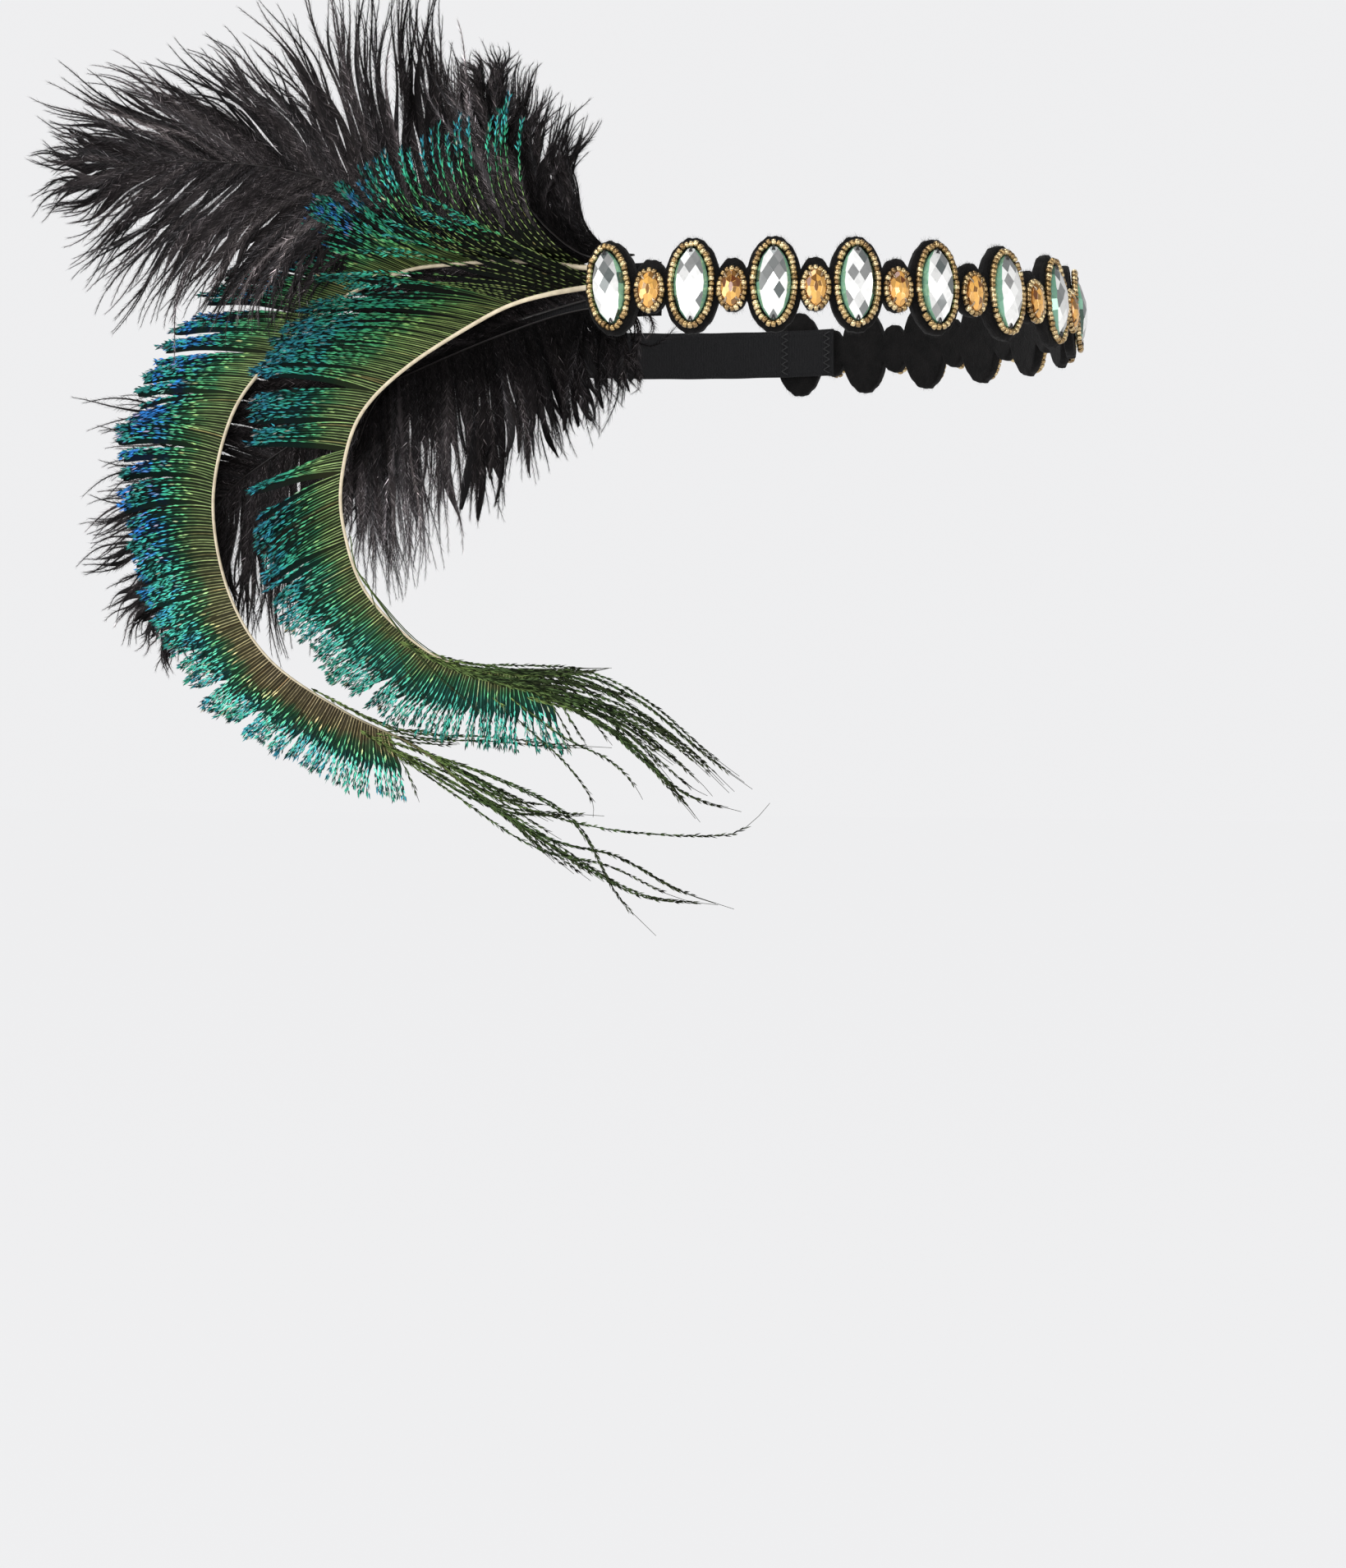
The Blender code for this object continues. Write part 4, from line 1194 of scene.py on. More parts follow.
def unit(ways):
    return ways / np.maximum(np.linalg.norm(ways, axis=-1, keepdims=True), 1e-9)


def counted_out(steps):
    """For a number of steps on each barb: the barb of each step, and its number on the barb."""
    barb = np.repeat(np.arange(len(steps)), steps)
    return barb, np.arange(len(barb)) - np.repeat(np.cumsum(steps) - steps, steps)


def sampled(courses, barb, along):
    """Places and headings on the courses: barb numbers and shares along, as equal arrays."""
    spot = np.clip(along, 0, 1) * (STATIONS - 1)
    low = np.clip(spot.astype(int), 0, STATIONS - 2)
    blend = (spot - low)[:, None]
    here, there = courses[barb, low], courses[barb, low + 1]
    return here * (1 - blend) + there * blend, unit(there - here)


def across_ways(courses):
    """At each station, the way across the barb in the feather's own surface."""
    return unit(np.cross(OUTWARD, np.gradient(courses, axis=1)))


def finish_values(*values):
    """What the feathers' finishes read, as one array (barb, station, 4): the share along the barb,
    the share down the quill, how light it is, and its hue."""
    return np.stack(np.broadcast_arrays(*values), -1)


def strips(near, far, values):
    """Strips of faces between two edges, each (barb, station, 3). values is (barb, station, 4)."""
    stations = near.shape[1]
    places = np.stack([near, far], 2).reshape(-1, 3)
    first = (np.arange(len(near))[:, None] * stations + np.arange(stations - 1)).ravel() * 2
    faces = np.stack([first, first + 1, first + 3, first + 2], 1)
    return places, faces, np.repeat(values.reshape(-1, 4), 2, axis=0)


WEB_DEPTH = 0.00012
WEB_PARTING = 0.28
WEB_OVERLAP = 0.15
STEM_TAPER = ((0.55, 1.0), (1.0, 0.15))


def webs(courses, closed_to, open_half, widest, values):
    """A web from each barb to the next near the quill, which parts into narrow stems further out."""
    steps = np.diff(courses, axis=0, append=courses[-1:])
    steps[-1] = steps[-2]
    width = np.linalg.norm(steps, axis=2, keepdims=True)
    steps = steps * np.minimum(1.0, widest / np.maximum(width, 1e-9))
    across = across_ways(courses)
    across = across * np.where((across * steps).sum(2, keepdims=True) < 0, -1.0, 1.0)
    closed = (1 - ease((ALONG - closed_to[:, None]) / WEB_PARTING))[:, :, None]
    half = open_half * (1 - closed) * np.interp(ALONG, *STEM_TAPER)[:, None]
    behind = courses - OUTWARD * WEB_DEPTH
    near = behind - steps * WEB_OVERLAP * closed - across * half
    far = behind + steps * closed + across * half
    return strips(near, far, values)


def ribbons(courses, half_wide, values):
    """Flat ribbons along courses. half_wide is (barb, station)."""
    step = across_ways(courses) * half_wide[:, :, None]
    return strips(courses - step, courses + step, values)


def feather_piece(name, parts, material, slot, node):
    """Joins parts of equal corners, each (places, faces, values), into one piece."""
    places, faces, values, start = [], [], [], 0
    for part_places, part_faces, part_values in parts:
        places.append(part_places)
        faces += (part_faces + start).tolist()
        values.append(part_values)
        start += len(part_places)
    values = np.concatenate(values)
    maps = {"herl": values[:, :2], "fleck": values[:, 2:]}
    piece = joined_mesh(name, np.concatenate(places), faces, maps)
    return finished(piece, material, slot, node)


def make_quill(name, feather, material, slot, node):
    """A quill that narrows to its tip."""
    points, headings, shares, _ = smooth_line(feather["quill"])

    def place(around, along):
        turn = 2 * math.pi * around
        wide = quill_half_width(feather, along)
        thick = (QUILL_THICKNESS + (QUILL_TIP_THICKNESS - QUILL_THICKNESS) * along) / 2
        wide = wide * np.interp(along, (0.0, 0.02, 0.985, 1.0), (0.55, 1.0, 0.9, 0.3))
        heading = np.interp(along, shares, headings)
        back = np.interp(along, shares, points[:, 0]) - np.sin(heading) * wide * np.cos(turn)
        up = np.interp(along, shares, points[:, 1]) + np.cos(heading) * wide * np.cos(turn)
        return side_points(feather, back, up, thick * np.sin(turn))

    quill = rolled_grid(name, 10, 150, place)
    bpy.ops.object.select_all(action="DESELECT")
    places = vertex_places(quill.data) - ROOT
    line = side_points(feather, points[:, 0], points[:, 1], np.zeros(len(points))) - ROOT
    nearest = [int(np.argmin(((line - spot) ** 2).sum(1))) for spot in places]
    values = np.stack([shares[nearest], np.zeros(len(places))], -1)
    give_map(quill.data, "quill", values)
    return finished(quill, material, slot, node)


# The tables of feathers. quill has the knots (back, up) of its middle line in metres. left and
# right have rows of barbs: share along the quill, length, angle off the quill and bend in degrees.
# layer, bow (amount, start) and lifted (share, amount) say how far they stand off the head.
# closed (share along the quill, share of the barb) and full_to say how far neighbours hold
# together, gathered (share, amount) how much the tips draw together in clumps, and partings
# (share, degrees, reach) where they part. Barbs are sparse up to sparse_to and loose from
# wisps_from. stout is for the quill. olive, gloss, tone, heart and pale_end are tones:
# olive and gloss set how light the swords' glossy ridges and barbules are painted, as
# painted highlights, tone how light a plume is painted, darker on the lower plume as painted
# shade, and heart a plume's painted shade near its quill.

# The peacock swords

INNER_SWORD = {
    "quill": (
        (-0.005, 0.0012), (0.009, 0.0012), (0.022, -0.0022), (0.035, -0.0068), (0.058, -0.0198),
        (0.072, -0.0333), (0.077, -0.050), (0.076, -0.066), (0.068, -0.085), (0.048, -0.102),
        (0.027, -0.107), (0.010, -0.107),
    ),
    "left": (
        (0.04, 0.050, 28, -4),
        (0.09, 0.058, 34, -14),
        (0.115, 0.058, 40, -32),
        (0.17, 0.057, 47, -45),
        (0.26, 0.048, 56, -49),
        (0.33, 0.041, 65, -54),
        (0.42, 0.031, 75, -40),
        (0.48, 0.028, 84, -36),
        (0.56, 0.026, 86, -44),
        (0.69, 0.022, 94, 0),
        (0.81, 0.022, 98, 12),
        (0.87, 0.020, 92, -6),
        (0.93, 0.021, 74, 0),
        (0.97, 0.027, 46, 6),
        (1.00, 0.040, 20, 12),
    ),
    "layer": 0.0096, "bow": (0.9, 0.030), "stout": (0.95, 0.68), "olive": 0.85, "gloss": 0.9,
    "closed": (
        (0.04, 0.34), (0.11, 0.34), (0.14, 0.50), (0.22, 0.85), (0.55, 0.85), (0.68, 0.55), (1.0, 0.42),
    ),
    "gathered": ((0.0, 0.22), (0.58, 0.22), (0.70, 0.28)),
    "partings": ((0.385, 4.0, 0.02), (0.472, 15.0, 0.03), (0.507, 9.0, 0.03), (0.60, 3.0, 0.02)),
    "straighter": 0.45, "sparse_to": 0.16, "wisps_from": 0.955,
}

OUTER_SWORD = {
    "quill": (
        (-0.005, 0.0068), (0.009, 0.0068), (0.026, 0.009), (0.047, 0.0092), (0.064, 0.0075),
        (0.085, -0.001), (0.105, -0.0176), (0.116, -0.033), (0.121, -0.057), (0.116, -0.0825),
        (0.103, -0.1025), (0.080, -0.1175), (0.058, -0.1277), (0.044, -0.138),
    ),
    "left": (
        (0.05, 0.050, 28, 74),
        (0.08, 0.050, 14, 78),
        (0.13, 0.048, 12, 70),
        (0.18, 0.042, 18, 34),
        (0.24, 0.034, 38, -10),
        (0.36, 0.037, 53, -27),
        (0.44, 0.035, 58, -24),
        (0.50, 0.031, 86, -28),
        (0.56, 0.028, 106, -44),
        (0.67, 0.024, 106, -20),
        (0.80, 0.021, 96, 15),
        (0.85, 0.019, 88, 0),
        (0.88, 0.019, 70, -4),
        (0.905, 0.020, 42, 4),
        (0.906, 0.040, 5, 0),
        (1.00, 0.058, -7, 0),
    ),
    "layer": 0.0040, "bow": (0.3, 0.050), "stout": (0.95, 0.68), "olive": 0.75, "gloss": 1.2,
    "closed": (
        (0.05, 0.15), (0.14, 0.25), (0.20, 0.80), (0.34, 0.90), (0.62, 0.92), (0.74, 0.55), (1.0, 0.42),
    ),
    "gathered": ((0.0, 0.24), (0.62, 0.24), (0.72, 0.28)),
    "partings": ((0.345, 4.0, 0.02), (0.405, 3.0, 0.015), (0.46, 3.0, 0.015)),
    "lifted": ((0.0, 0.0044), (0.20, 0.0044), (0.27, 0.0)),
    "sparse_to": 0.16, "wisps_from": 0.905,
}

# Loose strands past the swords' tips: knots (back, up) in millimetres, and how many lie together
INNER_STRANDS = (
    {"knots": ((48, -103), (35, -106), (17, -107), (3, -107), (-5, -106)), "count": 4},
    {"knots": ((58, -98), (44, -105), (28, -109), (12, -110), (-4, -112), (-16, -116)), "count": 7},
    {"knots": ((50, -102), (36, -107), (20, -109), (6, -111), (-8, -116)), "count": 7},
    {"knots": ((40, -105), (21, -108), (3, -108), (-16, -116), (-36, -130), (-51, -139)), "count": 6},
    {"knots": ((45, -104), (30, -109), (12, -112), (-7, -117), (-26, -126), (-44, -140)), "count": 7},
    {"knots": ((40, -106), (20, -111), (5, -115), (-10, -121), (-31, -135), (-38, -141)), "count": 7},
    {"knots": ((30, -108), (7, -117), (-12, -127), (-28, -141), (-35, -148)), "count": 6},
    {"knots": ((20, -114), (-1, -120), (-17, -131), (-32, -141), (-48, -145)), "count": 3},
    {"knots": ((30, -114), (16, -125), (6, -133), (-2, -142), (-3, -147)), "count": 1},
    {"knots": ((25, -114), (8, -125), (-6, -131), (-14, -137), (-18, -142)), "count": 1},
)

# Fine bare filaments that lie beside the inner quill and over its fringe
INNER_FILAMENTS = (
    {
        "knots": ((74, -68), (72, -77), (65, -86), (53, -98), (40, -105), (27, -106), (-5, -106)),
        "count": 2,
    },
    {
        "knots": ((70, -79), (67, -82), (64, -90), (58, -100), (50, -113), (42, -122)),
        "count": 1, "lift": 0.0022,
    },
    {
        "knots": ((70, -79), (66, -84), (54, -99), (45, -108), (35, -116), (29, -121)),
        "count": 2, "lift": 0.0022,
    },
)

OUTER_STRANDS = (
    {"knots": ((75, -123), (48, -137), (19, -153), (-3, -158), (-22, -167), (-39, -172)), "count": 3},
    {"knots": ((70, -125), (34, -137), (11, -149), (-3, -169), (-15, -180)), "count": 2},
    {"knots": ((68, -127), (43, -140), (30, -145), (20, -146), (1, -147)), "count": 4},
    {"knots": ((45, -137), (25, -145), (-3, -151), (-35, -152), (-44, -148), (-49, -143)), "count": 1},
    {"knots": ((90, -111), (71, -120), (57, -124), (35, -125), (16, -127), (-1, -128)), "count": 2},
    {"knots": ((35, -145), (19, -154), (2, -163), (-13, -169), (-34, -171)), "count": 2},
    {"knots": ((70, -124), (54, -126), (45, -127)), "count": 3},
)

# How barbs differ. clump gives the least and the most barbs in one. ragged and thinning change the
# lengths, stray and curl the degrees, wave and depth the ways. Each barb does so alone, and
# together with its clump
SWORD_LOOKS = {
    "pitch": 0.00086, "clump": (2, 8), "ragged": 0.05, "stray": 1.9, "curl": 5.0, "wave": 0.0002,
    "depth": 0.0005, "alone": 0.22, "together": 0.6, "thinning": 0.0, "drawn_late": 1.5,
}

# Rows of glossy barbules along a herl. Each row: step along the herl, side of its stem, how far
# beside it, splay in degrees, half width, length, the share along at which the row begins, and
# the share from which it is complete
UPPER_ROWS = (
    (0.0022, 1, 0.00000, 2, 0.00021, 0.0023, 0.18, 0.40),
    (0.0021, -1, 0.00026, 5, 0.00013, 0.0019, 0.40, 0.80),
    (0.0017, 1, 0.00026, 13, 0.00022, 0.0016, 0.72, 0.92),
    (0.0017, -1, 0.00030, 18, 0.00024, 0.0016, 0.76, 0.95),
)
LOWER_ROWS = (
    (0.0022, 1, 0.00000, 2, 0.00021, 0.0023, 0.18, 0.40),
    (0.0019, -1, 0.00020, 6, 0.00018, 0.0018, 0.36, 0.60),
    (0.0017, 1, 0.00024, 12, 0.00021, 0.0018, 0.48, 0.72),
    (0.0017, -1, 0.00026, 15, 0.00021, 0.0018, 0.52, 0.80),
)
ROOT_ROWS = (
    (0.0020, 1, 0.00002, 1, 0.00013, 0.0019, -0.20, -0.10),
    (0.0017, -1, 0.00014, 10, 0.00019, 0.0018, 0.50, 0.78),
    (0.0016, 1, 0.00018, 18, 0.00022, 0.0018, 0.70, 0.86),
)
STRAND_ROWS = (
    (0.0020, 1, 0.00008, 6, 0.00016, 0.0022, -0.20, -0.10),
    (0.0021, -1, 0.00008, 8, 0.00016, 0.0022, -0.20, -0.10),
)
MISSING = 0.07
SHADOW_LIGHT = (0.05, 0.30)
OPEN_LIGHT = (0.8, 2.2)
# How much darker the barbules are on the face towards the head.
INNER_FACE_DARKENING = 0.6
ROOT_TINTED_TO = 0.16
FIRST_TINT_LATE = 2.2

# How light the barbules are down the quill, and along the first barbs
LIGHT_DOWN_QUILL = ((0.16, 0.42, 0.50, 0.65, 1.2, 1.3), (0.60, 1.1, 1.1, 1.4, 1.4, 0.9))
LIGHT_ALONG_FIRST = ((0.45, 0.80), (0.50, 1.3))

# How light a herl's stem is along it and down the quill, and the ridge's width, light along it
# and light down the quill
STEM_LIGHT = ((0.0, 0.25, 0.55, 1.0), (0.065, 0.06, 0.045, 0.04))
STEM_LIGHT_DOWN = ((0.22, 0.38, 0.58, 0.72), (0.15, 1.0, 1.0, 2.2))
RIDGE_TAPER = ((0.0, 0.30, 0.57), (1.0, 1.0, 0.1))
RIDGE_LIGHT = ((0.0, 0.30, 0.57), (1.0, 0.9, 0.5))
RIDGE_LIGHT_DOWN = ((0.18, 0.30, 0.42), (0.45, 0.95, 1.35))

LOWER_FROM = 0.62
BARBULE_ROLL = 16
BARBULE_RISE = 0.00016
HERL_STEM_HALF = 0.00016
HERL_REACH = 0.0018
RIDGE_STATIONS = 13
RIDGE_HALF = 0.00013
RIDGE_RISE = (0.00008, -0.00028)
STRAND_HALF = 0.00018
STRAND_TAPER = ((0.0, 0.6, 1.0), (1.0, 0.8, 0.35))
STRAND_LIGHT = 0.6
FILAMENT_HALF = 0.00017
STRAND_SPREAD = 0.0016
FILAMENT_SPREAD = 0.0005
STRAND_BARE_FROM = 0.9


def shadow_share(splay, begins):
    """How many of a row's barbules lie in shadow: most of all in rows that stand out sideways."""
    if splay > 4:
        return 0.45
    return 0.20 if begins > 0 else 0.10


def herl_row(courses, root, length, row, face, gloss, bare_from, dice):
    """One row of barbules: slim leaves, each turned a little its own way."""
    step, side, beside, splay, half, long, begins, complete = row
    steps = np.maximum((length / step).astype(int), 3)
    barb, order = counted_out(steps)
    slip = 0.25 if begins < 0 else 0.7
    along = (order + dice.uniform(0.0, slip, len(barb))) / steps[barb]
    chance = np.clip((along - begins) / (complete - begins), 0, 1) * (1 - MISSING)
    chance = chance * np.where(along > bare_from, 0.0, 1.0)
    keep = dice.random(len(barb)) < chance
    barb, along = barb[keep], along[keep]
    number = len(barb)
    place, way = sampled(courses, barb, along)
    across = side * unit(np.cross(OUTWARD, way))
    turn = np.radians(dice.normal(splay, 0.5 * splay + 2, number))[:, None]
    roll = np.radians(dice.normal(0, BARBULE_ROLL, number))[:, None]
    ahead = way * np.cos(turn) + across * np.sin(turn)
    broad = across * np.cos(turn) - way * np.sin(turn)
    broad = broad * np.cos(roll) + OUTWARD * np.sin(roll)
    wide = (half * dice.uniform(0.75, 1.3, number))[:, None]
    reach = (long * dice.uniform(0.75, 1.2, number))[:, None]
    rise = BARBULE_RISE + np.abs(np.sin(roll)) * wide
    foot = place + across * beside + OUTWARD * (face * rise)
    places = [foot, foot + ahead * reach * 0.35 + broad * wide, foot + ahead * reach]
    places.append(foot + ahead * reach * 0.55 - broad * wide)
    first = np.arange(number) * 4
    faces = np.stack([first, first + 1, first + 2, first + 3], 1)
    # Painted light: a share of the barbules is painted dark as painted shade, the rest light as painted
    # glints.
    shadow = dice.random(number) < shadow_share(splay, begins)
    light = np.where(shadow, dice.uniform(*SHADOW_LIGHT, number), dice.uniform(*OPEN_LIGHT, number))
    early = root[barb] < ROOT_TINTED_TO
    level = np.interp(root[barb], *LIGHT_DOWN_QUILL)
    level = np.where(early, np.interp(along, *LIGHT_ALONG_FIRST), level)
    light = light * level * gloss * (1 if face > 0 else INNER_FACE_DARKENING)
    tint = np.where(early, along**FIRST_TINT_LATE, along)
    values = finish_values(tint, root[barb], light, dice.random(number))
    return np.stack(places, 1).reshape(-1, 3), faces, np.repeat(values, 4, axis=0)


def herl_barbules(courses, root, length, rows, gloss, dice, bare_from=2.0):
    """Rows of barbules on both faces of the feather."""
    parts = []
    for row in rows:
        for face in (1, -1):
            parts.append(herl_row(courses, root, length, row, face, gloss, bare_from, dice))
    return parts


def herl_stems(courses, root, closed_to, dice):
    """The dark stem of each herl, with the fine base that closes the gap to its neighbour. Their
    near-black is partly the herls' own dark barbules and partly painted shade between the herls.
    """
    level = np.interp(root, *STEM_LIGHT_DOWN) * dice.uniform(0.7, 1.3, len(root))
    light = np.interp(ALONG, *STEM_LIGHT) * level[:, None]
    values = finish_values(ALONG, root[:, None], light, dice.random((len(root), 1)))
    return webs(courses, closed_to, HERL_STEM_HALF, HERL_REACH, values)


def herl_ridges(courses, root, olive, dice):
    """The glossy line along the first half of each herl, one on each face: the herl's own olive colour,
    lightened as a painted highlight.
    """
    along = ALONG[:RIDGE_STATIONS]
    half = np.tile(RIDGE_HALF * np.interp(along, *RIDGE_TAPER), (len(root), 1))
    light = np.interp(along, *RIDGE_LIGHT) * dice.uniform(0.6, 1.3, half.shape)
    light = light * (olive * np.interp(root, *RIDGE_LIGHT_DOWN))[:, None]
    light = light * dice.lognormal(-0.1, 0.35, (len(root), 1))
    values = finish_values(along, root[:, None], light, dice.random((len(root), 1)))
    parts = []
    for rise in RIDGE_RISE:
        raised = courses[:, :RIDGE_STATIONS] + OUTWARD * rise
        parts.append(ribbons(raised, half, values))
    return parts


def strand_stems(courses, half, dice):
    """Flat stems of loose strands, which narrow to their tips."""
    wide = np.tile(half * np.interp(ALONG, *STRAND_TAPER), (len(courses), 1))
    light = STRAND_LIGHT * dice.uniform(0.6, 1.4, (len(courses), 1))
    values = finish_values(ALONG, STRAND, light, dice.random((len(courses), 1)))
    return ribbons(courses, wide, values)


def make_sword(name, feather, strands, filaments, seed, herl, quill, node):
    """A sword feather: its fringe, with sparse first barbs and loose last ones, and its quill."""
    dice = np.random.default_rng(seed)
    courses, root, length = barb_courses(feather, "left", SWORD_LOOKS, dice)
    left = (root > feather["sparse_to"]) | (np.arange(len(root)) % 2 == 0)
    courses, root, length = courses[left], root[left], length[left]
    closed = np.array(feather["closed"])
    fringe = root < feather["wisps_from"]
    early = root < feather["sparse_to"]
    full = fringe & ~early
    closed_to = np.interp(root[fringe], closed[:, 0], closed[:, 1])
    parts = [herl_stems(courses[fringe], root[fringe], closed_to, dice)]
    parts += herl_ridges(courses[full], root[full], feather["olive"], dice)
    upper, lower = full & (root < LOWER_FROM), full & (root >= LOWER_FROM)
    for some, rows in ((upper, UPPER_ROWS), (lower, LOWER_ROWS), (early, ROOT_ROWS)):
        parts += herl_barbules(courses[some], root[some], length[some], rows, feather["gloss"], dice)
    loose, loose_length = strand_courses(feather, strands, STRAND_SPREAD, dice)
    loose = np.concatenate([loose, courses[~fringe][::2]])
    loose_length = np.concatenate([loose_length, length[~fringe][::2]])
    parts.append(strand_stems(loose, STRAND_HALF, dice))
    loose_root = np.full(len(loose), STRAND)
    parts += herl_barbules(loose, loose_root, loose_length, STRAND_ROWS, 1.0, dice, STRAND_BARE_FROM)
    if filaments:
        fine, _ = strand_courses(feather, filaments, FILAMENT_SPREAD, dice)
        parts.append(strand_stems(fine, FILAMENT_HALF, dice))
    feather_piece(f"{name}_barbs", parts, herl, "peacock_barbs", node)
    make_quill(f"{name}_quill", feather, quill, "peacock_barbs", node)


# The ostrich plumes

# Loose flues under the first crystal: knots (back, up) in millimetres
LOWER_TUFT = (
    {"knots": ((8, -8), (6, -15), (4, -24), (6, -34), (7, -39)), "count": 5},
    {"knots": ((6, -9), (3, -17), (1, -27), (2, -35)), "count": 6},
    {"knots": ((2, -7), (-1, -15), (-2, -24), (-1, -32)), "count": 6},
    {"knots": ((-3, -4), (-5, -11), (-4, -18), (-6, -27), (-4, -29)), "count": 5},
    {"knots": ((-6, 2), (-8, -4), (-11, -10), (-10, -14)), "count": 4},
    {"knots": ((10, -6), (11, -17), (13, -29), (15, -40)), "count": 6},
    {"knots": ((-4, -14), (-10, -16), (-14, -14), (-18, -10)), "count": 1},
    {"knots": ((-1, -6), (-2, -11), (-2, -18), (-2, -27)), "count": 5},
)

# Loose flues behind the gap between the two swords' barbs
BACK_TUFT = (
    {"knots": ((30, -7), (45, 0), (60, 4), (80, 4), (95, 1)), "count": 9},
    {"knots": ((26, -6), (40, 3), (54, 8), (66, 9), (82, 7)), "count": 8},
)

REAR_PLUME = {
    "quill": (
        (-0.005, 0.004), (0.009, 0.0042), (0.018, 0.006), (0.029, 0.0125), (0.045, 0.0199),
        (0.064, 0.0272), (0.085, 0.0343), (0.100, 0.0385), (0.118, 0.041), (0.134, 0.0413),
        (0.147, 0.040),
    ),
    "left": (
        (0.12, 0.046, 40, -6),
        (0.20, 0.056, 41, -10),
        (0.30, 0.062, 46, 14),
        (0.40, 0.072, 52, 28),
        (0.50, 0.066, 54, 10),
        (0.54, 0.058, 50, -12),
        (0.60, 0.052, 44, -26),
        (0.71, 0.050, 36, -20),
        (0.81, 0.046, 28, -10),
        (0.90, 0.036, 16, 4),
        (1.00, 0.023, 8, 0),
    ),
    "right": (
        (0.10, 0.042, -12, -8),
        (0.16, 0.045, -28, -10),
        (0.17, 0.030, -2, 4),
        (0.29, 0.050, -6, -40),
        (0.32, 0.060, -14, -72),
        (0.47, 0.058, -20, -80),
        (0.60, 0.056, -38, -46),
        (0.71, 0.058, -42, -38),
        (0.81, 0.050, -43, -8),
        (0.90, 0.037, -29, 4),
        (1.00, 0.025, -8, -4),
    ),
    "layer": 0.0068, "bow": (1.3, 0.075), "stout": (0.5, 0.32), "tone": 2.7, "heart": 0.9,
    "full_to": (0.15, 0.65), "gathered": ((0.0, 0.6),),
    "lifted": ((0.0, -0.0045), (0.35, -0.0045), (0.45, 0.0)),
}

TOP_PLUME = {
    "quill": (
        (-0.005, 0.0096), (0.009, 0.010), (0.020, 0.0174), (0.030, 0.0295), (0.038, 0.044),
        (0.040, 0.056),
    ),
    "left": (
        (0.08, 0.036, 38, 62),
        (0.20, 0.041, 38, 64),
        (0.35, 0.038, 20, 70),
        (0.47, 0.035, 20, 54),
        (0.61, 0.033, 22, 38),
        (0.74, 0.027, 26, 28),
        (1.00, 0.016, 16, 0),
    ),
    "right": (
        (0.06, 0.040, -4, 54),
        (0.30, 0.046, -20, 50),
        (0.61, 0.040, -32, 52),
        (0.74, 0.032, -28, 46),
        (1.00, 0.014, -6, -14),
    ),
    "layer": 0.0012, "bow": (-2.0, 0.040), "stout": (0.5, 0.32), "tone": 1.7, "heart": 0.2,
    "full_to": (0.2, 0.6), "gathered": ((0.0, 0.55),), "pitch": 0.00045,
}

LOWER_PLUME = {
    "quill": (
        (-0.005, -0.0048), (0.010, -0.0048), (0.024, -0.0078), (0.042, -0.0134), (0.060, -0.020),
        (0.069, -0.024), (0.075, -0.032), (0.079, -0.042),
    ),
    "left": (
        (0.30, 0.015, 22, 0),
        (0.60, 0.015, 22, 0),
        (1.00, 0.010, 14, 0),
    ),
    "right": (
        (0.07, 0.022, -112, -4),
        (0.15, 0.028, -117, -4),
        (0.21, 0.034, -101, 9),
        (0.33, 0.038, -92, 3),
        (0.45, 0.046, -86, 11),
        (0.59, 0.050, -82, 16),
        (0.74, 0.057, -70, 0),
        (0.84, 0.055, -34, -8),
        (1.00, 0.028, -10, -12),
    ),
    # The lower plume's low tone paints it darker, as painted shade.
    "layer": 0.0012, "bow": (0.0, 0.0), "stout": (0.5, 0.32), "tone": 1.4, "heart": 0.22,
    "full_to": (0.44, 0.88), "gathered": ((0.0, 0.05),), "pitch": 0.00034, "wave": 0.0010,
    "stem": 0.00022, "pale_end": 4.5, "loose_end": 0.28, "tuft": LOWER_TUFT,
}

BACK_PLUME = {
    "quill": (
        (-0.005, -0.0018), (0.009, -0.002), (0.039, -0.009), (0.069, -0.0229), (0.089, -0.0334),
        (0.115, -0.048), (0.125, -0.056), (0.135, -0.066), (0.141, -0.077), (0.145, -0.0865),
    ),
    "left": (
        (0.05, 0.058, 36, -10),
        (0.11, 0.058, 44, -14),
        (0.18, 0.056, 46, -20),
        (0.26, 0.056, 40, -24),
        (0.53, 0.062, 45, -24),
        (0.63, 0.068, 48, -25),
        (0.76, 0.052, 50, -30),
        (0.84, 0.043, 42, -10),
        (0.91, 0.034, 50, -34),
        (1.00, 0.018, 22, -24),
    ),
    "right": (
        (0.40, 0.044, -54, 6),
        (0.53, 0.052, -53, 10),
        (0.60, 0.060, -54, 0),
        (0.68, 0.055, -48, -15),
        (0.80, 0.043, -30, -17),
        (0.93, 0.030, -8, -18),
        (1.00, 0.020, -8, -10),
    ),
    "layer": -0.0015, "bow": (-1.4, 0.090), "stout": (0.5, 0.32), "tone": 2.6, "heart": 0.7,
    "full_to": (0.30, 0.66), "gathered": ((0.0, 0.3),), "pitch": 0.00060, "tuft": BACK_TUFT,
}

